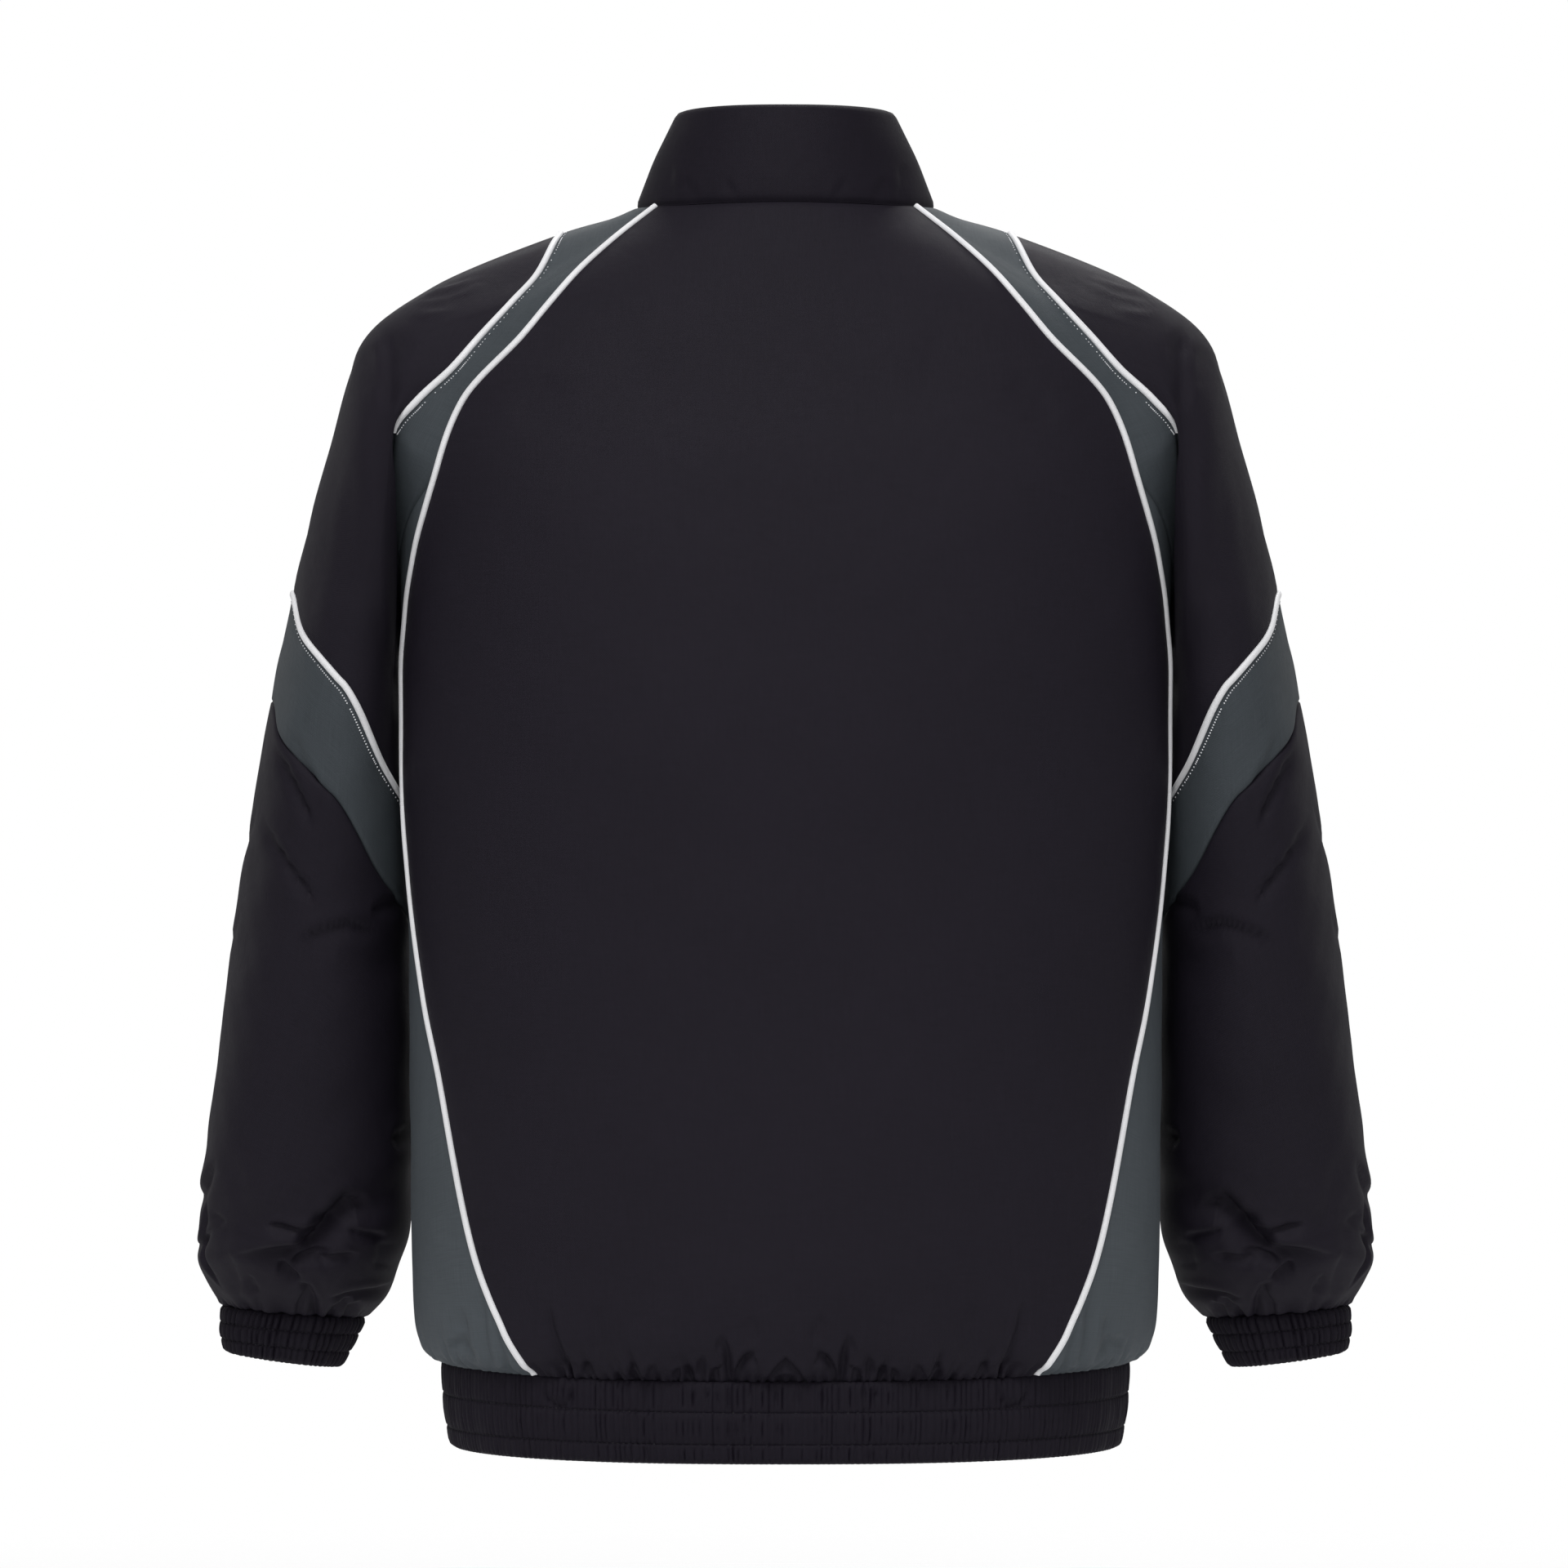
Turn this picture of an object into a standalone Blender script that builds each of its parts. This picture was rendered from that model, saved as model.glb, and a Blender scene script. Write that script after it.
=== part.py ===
"""Track jacket, filled out as worn and zipped up.

Each cut piece is a thin wall on one torso form or one sleeve form. Metres, +Z up. The front faces -Y and
the wearer's left is +X. z is 0 at the back of the neck, on the centre line.
"""

import math

import bmesh
import bpy
import numpy as np

# Cloth, seams and piping
WALL = 0.0015
SEAM_GAP = 0.0003
PIPING_WIDTH = 0.0042
PIPING_HEIGHT = 0.0018
PIPING_SHOULDER_OUT = 0.62  # the half-round's shoulders, as shares of its half width and height
PIPING_SHOULDER_UP = 0.8
PIPING_LIFT = 0.0005
PIPING_END = 0.0012  # how far piping stops short of the edge that it runs to

# Zip
ZIP_HALF = 0.0065  # from the centre line to the cloth's edge
TAPE_WALL = 0.0012
TAPE_SINK = 0.0004  # the tape lies this far inside the cloth's outer face

# Torso
MIDDLE_Y = -0.010  # the side's most outward line
DENT_Y = -0.028  # where the hanging arm presses the side in
DENT_REACH = 0.060
SIDE_RISE = 0.004  # the hem seam is this much higher at the sides
HEM_LEVEL = -0.650
HEM_EDGE = -0.6955
HEM_EDGE_RISE = 0.0015
RISE_LEVEL = -0.580

# Neck and collar
NECK_HALF = 0.0846
NECK_LEVEL = 0.003
NECK_DROP = 0.062  # how far the neck seam falls at the front
NECK_DROP_POWER = 1.3
COLLAR_HALF = 0.0608
COLLAR_MIDDLE_Y = -0.012
COLLAR_BACK = 0.060
COLLAR_FRONT = 0.058
COLLAR_TOP = 0.0575
COLLAR_DROP = 0.050
COLLAR_CORNER = 0.0035  # the top edge is this much lower at the sides
COLLAR_BULGE = 0.0015

# Counts of faces along and around the pieces
BACK_COLUMNS = 20
FRONT_COLUMNS = 9
NECK_STEPS = 3
RAGLAN_STEPS = 7
ARMHOLE_STEPS = 4
HALF_LOOP = NECK_STEPS + RAGLAN_STEPS + ARMHOLE_STEPS
BODY_ROWS = 13
END_CROWDING = 0.07  # how much closer the body's rows are at their ends
BAND_ROWS = 3
UPPER_ROWS = 7
SLEEVE_BAND_ROWS = 2
LOWER_ROWS = 10
COLLAR_ROWS = 2
HEM_ROWS = 1
CUFF_ROWS = 2
HEAD_PIPING_COLUMNS = 10  # on each side of the ridge: from there on the seam lies under the sleeve's fold

# Gathers
HEM_GATHERS = 120
CUFF_GATHERS = 30
GATHER_HEIGHT = 0.0011
PUCKER_DEPTH = 0.0022
PUCKER_WIDTH = 0.052
PUCKER_REACH = 0.055
PUCKER_START = 0.006  # they die out over this height down to the hem seam
PUCKER_SLANT = 0.7  # how much depth counts beside width in their spacing
PUCKER_UNEVEN = 1.3  # how far the spacing drifts, and over what length
PUCKER_DRIFT = 0.273

FINE_STEPS = 400  # steps of a line that is only measured along

SLEEVE_POWER = 2.2  # of the oval sections
TURN_POWER = 1.2  # spaces the columns closer on the sleeve's outer line
FRONT_SHARE = 0.9  # the shoulder's depth in front of its ridge, as a share of that behind
RIDGE_Y = -0.008


def table(columns, rows):
    """A short table: the name of each column, and its values as an array."""
    return dict(zip(columns.split(), np.array(rows, float).T))


# The torso's level sections, from the neck down.
TORSO = table(
    "z half_width back front power dent",
    [
        (0.012, 0.0700, 0.0580, -0.0560, 2.0, 0.000),
        (0.003, 0.0846, 0.0620, -0.0600, 2.0, 0.000),
        (-0.025, 0.1400, 0.0750, -0.0640, 2.2, 0.000),
        (-0.050, 0.1880, 0.0880, -0.0730, 2.3, 0.000),
        (-0.075, 0.2110, 0.0990, -0.0840, 2.4, 0.000),
        (-0.100, 0.2210, 0.1080, -0.0960, 2.4, 0.000),
        (-0.150, 0.2220, 0.1230, -0.1150, 2.5, 0.008),
        (-0.190, 0.2200, 0.1300, -0.1260, 2.5, 0.015),
        (-0.235, 0.2185, 0.1350, -0.1320, 2.5, 0.021),
        (-0.270, 0.2180, 0.1380, -0.1340, 2.5, 0.021),
        (-0.310, 0.2175, 0.1390, -0.1350, 2.5, 0.018),
        (-0.350, 0.2160, 0.1390, -0.1350, 2.5, 0.014),
        (-0.400, 0.2135, 0.1390, -0.1340, 2.5, 0.005),
        (-0.440, 0.2126, 0.1385, -0.1335, 2.5, 0.000),
        (-0.545, 0.2118, 0.1360, -0.1320, 2.5, 0.000),
        (-0.600, 0.2106, 0.1340, -0.1310, 2.5, 0.000),
        (-0.625, 0.2085, 0.1310, -0.1290, 2.5, 0.000),
        (-0.640, 0.2045, 0.1260, -0.1240, 2.5, 0.000),
        (-0.650, 0.1957, 0.1190, -0.1180, 2.5, 0.000),
    ],
)

# The hem band's level sections.
HEM = table(
    "z half_width back front",
    [
        (-0.6500, 0.1937, 0.1190, -0.1180),
        (-0.6720, 0.1926, 0.1200, -0.1190),
        (-0.6955, 0.1887, 0.1175, -0.1165),
    ],
)

# The long seam between back and side: how far out it runs at each level.
BACK_SEAM = table(
    "z x",
    [
        (0.0024, 0.0715),
        (-0.017, 0.0949),
        (-0.036, 0.1148),
        (-0.055, 0.1308),
        (-0.073, 0.1453),
        (-0.109, 0.1787),
        (-0.127, 0.1871),
        (-0.151, 0.1945),
        (-0.199, 0.2080),
        (-0.226, 0.2124),
        (-0.260, 0.2146),
        (-0.310, 0.2146),
        (-0.372, 0.2106),
        (-0.409, 0.2066),
        (-0.445, 0.2005),
        (-0.481, 0.1931),
        (-0.552, 0.1794),
        (-0.588, 0.1701),
        (-0.623, 0.1554),
        (-0.650, 0.1382),
    ],
)

# The front seam's upper stretch. From the branch down it mirrors the back's.
FRONT_SEAM = table(
    "z x",
    [
        (-0.0245, 0.0715),
        (-0.050, 0.0980),
        (-0.075, 0.1285),
        (-0.100, 0.1560),
        (-0.125, 0.1790),
        (-0.151, 0.1945),
    ],
)
BRANCH_LEVEL = -0.151  # where the armhole seam leaves the long seams

# The armhole seam's level, by its share of the way from the back seam to the front's.
ARMHOLE = table(
    "share z",
    [(0.0, -0.151), (0.125, -0.172), (0.25, -0.196), (0.375, -0.220), (0.5, -0.235)],
)

# Back half of the ring where sleeve head and shoulder band meet: share 0 is its ridge and 1 the underarm.
HEAD_SEAM = table(
    "share x y z",
    [
        (0.000, 0.1270, -0.008, -0.0115),
        (0.107, 0.1300, 0.018, -0.0185),
        (0.214, 0.1385, 0.040, -0.0372),
        (0.320, 0.1520, 0.054, -0.0535),
        (0.430, 0.1691, 0.063, -0.0726),
        (0.540, 0.1850, 0.068, -0.0910),
        (0.640, 0.2045, 0.068, -0.1092),
        (0.714, 0.2183, 0.060, -0.1269),
        (0.786, 0.2205, 0.046, -0.1520),
        (0.857, 0.2225, 0.026, -0.1840),
        (0.929, 0.2185, 0.004, -0.2150),
        (1.000, 0.2100, -0.014, -0.2400),
    ],
)

# Back half of the ring where the sleeve folds over that seam.
HEAD_FOLD = table(
    "share x y z",
    [
        (0.000, 0.2000, -0.008, -0.0420),
        (0.107, 0.2005, 0.018, -0.0465),
        (0.214, 0.2040, 0.038, -0.0580),
        (0.320, 0.2075, 0.052, -0.0730),
        (0.430, 0.2110, 0.062, -0.0900),
        (0.540, 0.2150, 0.067, -0.1050),
        (0.640, 0.2170, 0.070, -0.1200),
        (0.714, 0.2180, 0.0690, -0.1350),
        (0.786, 0.2165, 0.0640, -0.1560),
        (0.857, 0.2160, 0.0530, -0.1880),
        (0.929, 0.2185, 0.0280, -0.2290),
        (1.000, 0.2150, -0.012, -0.2520),
    ],
)

# The sleeve's sections below that: its outer and inner lines, and its depth front to back.
SLEEVE = table(
    "outer_x outer_z inner_x inner_z y half_depth",
    [
        (0.2385, -0.0725, 0.2165, -0.2640, -0.012, 0.082),
        (0.2566, -0.1300, 0.2165, -0.2780, -0.016, 0.082),
        (0.2758, -0.2017, 0.2148, -0.3060, -0.022, 0.081),
        (0.2951, -0.2940, 0.2125, -0.3500, -0.034, 0.080),
        (0.3105, -0.3869, 0.2120, -0.4150, -0.048, 0.078),
        (0.3245, -0.4803, 0.2122, -0.5000, -0.060, 0.074),
        (0.3345, -0.5550, 0.2150, -0.5750, -0.070, 0.067),
        (0.3365, -0.5850, 0.2230, -0.6020, -0.075, 0.060),
        (0.3320, -0.6050, 0.2285, -0.6160, -0.078, 0.050),
        (0.3236, -0.6203, 0.2407, -0.6278, -0.080, 0.036),
    ],
)
CUFF = table(
    "outer_x outer_z inner_x inner_z y half_depth",
    [
        (0.3232, -0.6203, 0.2411, -0.6278, -0.080, 0.0355),
        (0.3240, -0.6340, 0.2475, -0.6415, -0.081, 0.0350),
        (0.3212, -0.6475, 0.2558, -0.6565, -0.081, 0.0310),
    ],
)

# The grey sleeve band's edges, by the turn round the sleeve: 0 is its outer line and 180 its inner one.
SLEEVE_BAND = table(
    "turn top bottom",
    [
        (0, -0.214, -0.274),
        (20, -0.217, -0.278),
        (45, -0.235, -0.296),
        (90, -0.265, -0.327),
        (135, -0.315, -0.377),
        (180, -0.345, -0.405),
    ],
)

# The lower sleeve's largest folds: level and turn of the middle, reach along and across, depth.
SLEEVE_FOLDS = table(
    "z turn along across depth",
    [
        (-0.545, 60, 55, 0.010, -0.0035),
        (-0.562, 75, 60, 0.009, 0.0030),
        (-0.580, 110, 60, 0.009, -0.0035),
        (-0.560, 240, 60, 0.012, -0.0035),
        (-0.585, 290, 60, 0.009, 0.0030),
        (-0.430, 150, 35, 0.014, -0.0030),
        (-0.370, 60, 40, 0.016, -0.0020),
        (-0.420, 215, 40, 0.016, -0.0030),
    ],
)

FOLD_SLANT = 0.0002  # how much they fall, a degree round the sleeve

# Slider and pull tab
SLIDER_WIDTH = 0.0084
SLIDER_LENGTH = 0.0105
SLIDER_THICK = 0.0022
SLIDER_DROP = 0.0080  # from the collar's top edge to the slider's middle
SLIDER_LIFT = 0.0004
BRIDGE_WIDTH = 0.0022
BRIDGE_BAR = 0.0010
BRIDGE_HALF = 0.0038
BRIDGE_RISE = 0.0028
BRIDGE_SINK = 0.0004  # how far its hole goes into the plate
PULL_WIDTH = 0.0062
PULL_LENGTH = 0.0240
PULL_THICK = 0.0012
PULL_BAR = 0.0012
PULL_RAIL = 0.0013
PULL_WINDOW = 0.0050
PULL_TIP = 0.5  # half its straight end, and how far up its corners are cut, as shares of its half width
PULL_CORNER = 0.6
WINDOW_SILL = 0.4  # the same faces go round the window: these shares of its sill and its sides
WINDOW_JAMB = 0.8

BLACK = (0.018, 0.017, 0.021)
GREY = (0.055, 0.063, 0.070)
PALE = (0.78, 0.78, 0.82)
DARK_METAL = (0.10, 0.10, 0.11)


def unit(vectors):
    return vectors / np.linalg.norm(vectors, axis=-1, keepdims=True)


def smooth(at, xs, ys):
    """A curve through the points (xs, ys) that never overshoots them, read at each value of at."""
    if xs[0] > xs[-1]:
        xs, ys = xs[::-1], ys[::-1]
    steps = np.diff(xs)
    slopes = np.diff(ys) / steps
    tangents = np.zeros_like(ys)
    tangents[0] = slopes[0]
    tangents[-1] = slopes[-1]
    same_way = slopes[:-1] * slopes[1:] > 0
    first = 2 * steps[1:] + steps[:-1]
    second = steps[1:] + 2 * steps[:-1]
    safe = np.where(same_way, slopes[:-1], 1.0)
    other = np.where(same_way, slopes[1:], 1.0)
    tangents[1:-1] = np.where(same_way, (first + second) / (first / safe + second / other), 0.0)
    at = np.clip(at, xs[0], xs[-1])
    k = np.clip(np.searchsorted(xs, at) - 1, 0, len(xs) - 2)
    t = (at - xs[k]) / steps[k]
    start = ys[k] * (1 + 2 * t) * (1 - t) ** 2 + tangents[k] * steps[k] * t * (1 - t) ** 2
    end = ys[k + 1] * t**2 * (3 - 2 * t) + tangents[k + 1] * steps[k] * t**2 * (t - 1)
    return start + end


def ease(t):
    """0 to 1 with level ends."""
    t = np.clip(t, 0.0, 1.0)
    return t * t * (3 - 2 * t)


# Torso form


def torso_column(name, level):
    return smooth(level, TORSO["z"], TORSO[name])


def torso(angle, level):
    """A point of the torso. The angle is 0 at the side, 90 degrees at the back and -90 at the front."""
    angle, level = np.broadcast_arrays(angle, level)
    power = 2 / torso_column("power", level)
    back = torso_column("back", level) - MIDDLE_Y
    front = MIDDLE_Y - torso_column("front", level)
    x = torso_column("half_width", level) * np.abs(np.cos(angle)) ** power
    y = MIDDLE_Y + np.where(angle > 0, back, -front) * np.abs(np.sin(angle)) ** power
    pressed = np.clip(1 - ((y - DENT_Y) / DENT_REACH) ** 2, 0, 1) ** 2
    x = x - torso_column("dent", level) * pressed
    rise = SIDE_RISE * np.cos(angle) ** 2 * ease((RISE_LEVEL - level) / (RISE_LEVEL - HEM_LEVEL))
    return np.stack([x, y, level + rise], axis=-1)


def torso_normal(angle, level):
    turn, climb = 0.02, 0.002
    across = torso(angle + turn, level) - torso(angle - turn, level)
    up = torso(angle, level + climb) - torso(angle, level - climb)
    return unit(np.cross(across, up))


def torso_angle(x, level):
    """The angle, on the back half, at which the torso is x wide."""
    share = np.clip(x / torso_column("half_width", level), 0, 1)
    return np.arccos(share ** (torso_column("power", level) / 2))


def back_seam_angle(level):
    return torso_angle(smooth(level, BACK_SEAM["z"], BACK_SEAM["x"]), level)


def front_seam_angle(level):
    upper = smooth(level, FRONT_SEAM["z"], FRONT_SEAM["x"])
    lower = smooth(level, BACK_SEAM["z"], BACK_SEAM["x"])
    return -torso_angle(np.where(level > BRANCH_LEVEL, upper, lower), level)


def armhole_level(share):
    return smooth(0.5 - np.abs(share - 0.5), ARMHOLE["share"], ARMHOLE["z"])


def neck_front(turn):
    """Angle and level of the neck seam's front half: turn is 0 at the side and 90 degrees in front."""
    level = NECK_LEVEL - NECK_DROP * np.sin(turn) ** NECK_DROP_POWER
    return -torso_angle(NECK_HALF * np.cos(turn), level), level


def puckers(points, level):
    """How far the gathered cloth just above the hem band stands out, uneven along the hem."""
    turn = 2 * np.pi * (points[..., 0] + PUCKER_SLANT * points[..., 1])
    wave = np.cos(turn / PUCKER_WIDTH + PUCKER_UNEVEN * np.sin(turn / PUCKER_DRIFT))
    up = level - HEM_LEVEL
    return PUCKER_DEPTH * wave * ease(1 - up / PUCKER_REACH) * ease(up / PUCKER_START)


def torso_panel(angle, level):
    """Outer points and normals of a panel, with its puckers, from the angle and level of each point."""
    normals = torso_normal(angle, level)
    points = torso(angle, level)
    return points + normals * puckers(points, level)[..., None], normals


def lower_levels():
    """Levels of the rows from the hem seam to the branch, closer at both ends."""
    share = np.linspace(0, 1, BODY_ROWS + 1)
    share = share - END_CROWDING * np.sin(2 * np.pi * share)
    share[-1] = 1.0
    return HEM_LEVEL + share * (BRANCH_LEVEL - HEM_LEVEL)


def back_levels():
    upper = np.linspace(BRANCH_LEVEL, BACK_SEAM["z"][0], RAGLAN_STEPS + 1)
    return np.concatenate([lower_levels(), upper[1:]])


def front_levels():
    upper = np.linspace(BRANCH_LEVEL, FRONT_SEAM["z"][0], RAGLAN_STEPS + 1)
    return np.concatenate([lower_levels(), upper[1:]])


def back_panel():
    """The whole back, from the right seam to the left one."""
    level = back_levels()[:, None]
    share = np.linspace(-1, 1, BACK_COLUMNS + 1)[None, :]
    seam = smooth(level, BACK_SEAM["z"], BACK_SEAM["x"])
    points, normals = torso_panel(torso_angle(np.abs(share) * seam, level), level)
    side = np.where(share < 0, -1.0, 1.0)
    points[..., 0] *= side
    normals[..., 0] *= side
    return points[:, ::-1], normals[:, ::-1]


def front_panel():
    """The left front, from the zip to the seam."""
    seam_level = front_levels()[:, None]
    share = np.linspace(0, 1, FRONT_COLUMNS + 1)[None, :]
    seam = np.where(
        seam_level > BRANCH_LEVEL,
        smooth(seam_level, FRONT_SEAM["z"], FRONT_SEAM["x"]),
        smooth(seam_level, BACK_SEAM["z"], BACK_SEAM["x"]),
    )
    x = ZIP_HALF + share * (seam - ZIP_HALF)
    top = NECK_LEVEL - NECK_DROP * (1 - (x[-1] / NECK_HALF) ** 2) ** (NECK_DROP_POWER / 2)
    level = HEM_LEVEL + (seam_level - HEM_LEVEL) * (top - HEM_LEVEL) / (top[-1] - HEM_LEVEL)
    return torso_panel(-torso_angle(x, level), level)


def side_panel():
    """The left side, from the front seam to the back one."""
    seam_level = lower_levels()[:, None]
    share = np.linspace(1, 0, 2 * ARMHOLE_STEPS + 1)[None, :]
    top = armhole_level(share)
    level = HEM_LEVEL + (seam_level - HEM_LEVEL) * (top - HEM_LEVEL) / (BRANCH_LEVEL - HEM_LEVEL)
    back, front = back_seam_angle(level), front_seam_angle(level)
    return torso_panel(back + share * (front - back), level)


# Sleeve form


def closed_loop(back, front):
    """A loop from its two halves, each from ridge to underarm: down the front, then up the back."""
    return np.concatenate([front[:-1], back[:0:-1]])


def body_loop():
    """The loop on the torso that the shoulder band is sewn to, with the torso's normals."""
    steps = np.linspace(0, 1, NECK_STEPS + 1)
    back_top = back_seam_angle(np.array(BACK_SEAM["z"][0]))
    neck_back = (steps * back_top, NECK_LEVEL + steps * (BACK_SEAM["z"][0] - NECK_LEVEL))
    neck_turn = steps * math.acos(FRONT_SEAM["x"][0] / NECK_HALF)
    neck_fore = neck_front(neck_turn)
    raglan = back_levels()[BODY_ROWS:][::-1]
    raglan_fore = front_levels()[BODY_ROWS:][::-1]
    share = np.linspace(0, 0.5, ARMHOLE_STEPS + 1)
    level = armhole_level(share)
    across = front_seam_angle(level) - back_seam_angle(level)
    arm_back = (back_seam_angle(level) + share * across, level)
    arm_front = (front_seam_angle(level) - share * across, level)
    back = [neck_back, (back_seam_angle(raglan), raglan), arm_back]
    front = [neck_fore, (front_seam_angle(raglan_fore), raglan_fore), arm_front]
    halves = []
    for parts in (back, front):
        angle = np.concatenate([parts[0][0][:-1], parts[1][0][:-1], parts[2][0]])
        level = np.concatenate([parts[0][1][:-1], parts[1][1][:-1], parts[2][1]])
        halves.append((torso(angle, level), torso_normal(angle, level)))
    return tuple(closed_loop(b, f) for b, f in zip(*halves))


def head_ring(rows):
    """A ring of the sleeve head from its back half's rows. Its front half is a little shallower."""
    share = np.linspace(0, 1, HALF_LOOP + 1)
    back = np.stack([smooth(share, rows["share"], rows[c]) for c in "xyz"], axis=-1)
    front = back.copy()
    front[:, 1] = RIDGE_Y - (back[:, 1] - RIDGE_Y) * np.where(back[:, 1] > RIDGE_Y, FRONT_SHARE, 1.0)
    return closed_loop(back, front)


def loop_turns():
    """Degrees round the sleeve of each column, from the outer line down the front."""
    turn = 180 * np.linspace(0, 1, HALF_LOOP + 1) ** TURN_POWER
    return closed_loop(360 - turn, turn)


def section_ring(rows, k, turns):
    """A sleeve section. It is an oval between its outer and inner lines."""
    outer = np.array([rows["outer_x"][k], rows["y"][k], rows["outer_z"][k]])
    inner = np.array([rows["inner_x"][k], rows["y"][k], rows["inner_z"][k]])
    depth = np.array([0.0, -rows["half_depth"][k], 0.0])
    angle = np.radians(turns)
    power = 2 / SLEEVE_POWER
    across = np.sign(np.cos(angle)) * np.abs(np.cos(angle)) ** power
    through = np.sign(np.sin(angle)) * np.abs(np.sin(angle)) ** power
    middle, half = (outer + inner) / 2, (outer - inner) / 2
    return middle + across[:, None] * half + through[:, None] * depth


def along_sleeve(rings, at):
    """Points at the ring number that each column of at gives, on smooth lines through the rings."""
    numbers = np.arange(len(rings), dtype=float)
    columns = []
    for column in range(rings.shape[1]):
        lines = [smooth(at[:, column], numbers, rings[:, column, c]) for c in range(3)]
        columns.append(np.stack(lines, axis=-1))
    return np.stack(columns, axis=1)


def number_at_level(rings, levels):
    """The ring number at which each column's line comes down to its level."""
    fine = np.linspace(2, len(rings) - 1, FINE_STEPS)
    lines = along_sleeve(rings, np.repeat(fine[:, None], rings.shape[1], axis=1))[..., 2]
    return np.array([np.interp(-z, -lines[:, k], fine) for k, z in enumerate(levels)])


def sleeve_folds(points, turns):
    """How far the lower sleeve stands out, by its largest folds."""
    depth = np.zeros(points.shape[:2])
    for z, turn, along, across, height in zip(*SLEEVE_FOLDS.values()):
        round_off = (turns[None, :] - turn + 180) % 360 - 180
        slant = points[..., 2] - z + FOLD_SLANT * round_off
        depth += height * np.exp(-((round_off / along) ** 2) - (slant / across) ** 2)
    return depth


def grid_normals(grid):
    """Outward normals of a grid whose columns close into a loop: the mean of those of the faces there."""
    across = np.roll(grid, -1, axis=1) - grid
    up = np.diff(grid, axis=0)
    faces = unit(np.cross(across[:-1] + across[1:], up + np.roll(up, -1, axis=1)))
    both = faces + np.roll(faces, 1, axis=1)
    return unit(np.concatenate([both[:1], both[:-1] + both[1:], both[-1:]]))


def sleeve_grid():
    """Points and normals of the whole left sleeve from the torso to the cuff seam, and each piece's rows."""
    body, body_normals = body_loop()
    turns = loop_turns()
    rings = [body, head_ring(HEAD_SEAM), head_ring(HEAD_FOLD)]
    rings += [section_ring(SLEEVE, k, turns) for k in range(len(SLEEVE["y"]))]
    rings = np.array(rings)
    plain_turn = 180 - np.abs(turns - 180)
    band_top = number_at_level(rings, smooth(plain_turn, SLEEVE_BAND["turn"], SLEEVE_BAND["top"]))
    band_bottom = number_at_level(rings, smooth(plain_turn, SLEEVE_BAND["turn"], SLEEVE_BAND["bottom"]))
    head = np.ones(len(turns))
    last = np.full(len(turns), len(rings) - 1.0)
    stretches = [(head, band_top, UPPER_ROWS), (band_top, band_bottom, SLEEVE_BAND_ROWS)]
    stretches.append((band_bottom, last, LOWER_ROWS))
    at = [head]
    for start, end, count in stretches:
        at += [start + (end - start) * k / count for k in range(1, count + 1)]
    below = along_sleeve(rings, np.array(at))
    leaving = (along_sleeve(rings, head[None] + 0.01)[0] - rings[1]) / 0.01
    same_way = np.sum(unit(leaving) * unit(rings[1] - body), axis=1, keepdims=True)
    leaving = rings[1] - body + ease(same_way * 2 - 0.6) * (leaving - rings[1] + body)

    # The shoulder band leaves the torso along its surface, but turns straight out under the arm.
    chord = rings[1] - body
    flat = chord - body_normals * np.sum(chord * body_normals, axis=1, keepdims=True)
    flat *= np.linalg.norm(chord, axis=1, keepdims=True) / np.linalg.norm(flat, axis=1, keepdims=True)
    underarm = HALF_LOOP - np.abs(np.arange(2 * HALF_LOOP) - HALF_LOOP)
    tucked = ease((underarm - NECK_STEPS - RAGLAN_STEPS) / ARMHOLE_STEPS)[:, None]
    start = flat + tucked * (chord - flat)
    band = []
    for t in np.arange(BAND_ROWS) / BAND_ROWS:
        at_body = body * (1 + 2 * t) * (1 - t) ** 2 + start * t * (1 - t) ** 2
        at_head = rings[1] * t**2 * (3 - 2 * t) + leaving * t**2 * (t - 1)
        band.append(at_body + at_head)
    grid = np.concatenate([np.array(band), below])
    normals = grid_normals(grid)
    normals[0] = unit(normals[0] + body_normals)
    grid = grid + normals * sleeve_folds(grid, turns)[..., None]
    return grid, normals


# Making solids


def add_object(name, mesh_data, colour, roughness, metallic=0.0, at=(0.0, 0.0, 0.0), mirror=False):
    """An object with its own mesh and material from a bmesh, turned to face out."""
    if mirror:
        bmesh.ops.scale(mesh_data, vec=(-1, 1, 1), verts=mesh_data.verts)
    bmesh.ops.recalc_face_normals(mesh_data, faces=mesh_data.faces)
    mesh = bpy.data.meshes.new(name)
    mesh_data.to_mesh(mesh)
    mesh_data.free()
    mesh.shade_smooth()
    mesh.set_sharp_from_angle(angle=math.radians(40))
    material = bpy.data.materials.new(name)
    material.use_nodes = True
    shader = material.node_tree.nodes["Principled BSDF"]
    shader.inputs["Base Color"].default_value = (*colour, 1)
    shader.inputs["Roughness"].default_value = roughness
    shader.inputs["Metallic"].default_value = metallic
    mesh.materials.append(material)
    made = bpy.data.objects.new(name, mesh)
    made.location = at
    bpy.context.scene.collection.objects.link(made)
    return made


def add_grid_faces(mesh_data, layer, closed, turned):
    rows, columns = len(layer), len(layer[0])
    for r in range(rows - 1):
        for c in range(columns if closed else columns - 1):
            d = (c + 1) % columns
            corners = [layer[r][c], layer[r][d], layer[r + 1][d], layer[r + 1][c]]
            mesh_data.faces.new(corners[::-1] if turned else corners)


def add_rim_faces(mesh_data, outer, inner, closed):
    """Triangles along an edge. Both pieces at a seam cut theirs from the higher outer point."""
    count = len(outer)
    for k in range(count if closed else count - 1):
        m = (k + 1) % count
        corners = [outer[k], outer[m], inner[m], inner[k]]
        if outer[k].co.z < outer[m].co.z:
            corners = corners[1:] + corners[:1]
        mesh_data.faces.new(corners[:3])
        mesh_data.faces.new(corners[2:] + corners[:1])


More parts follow.
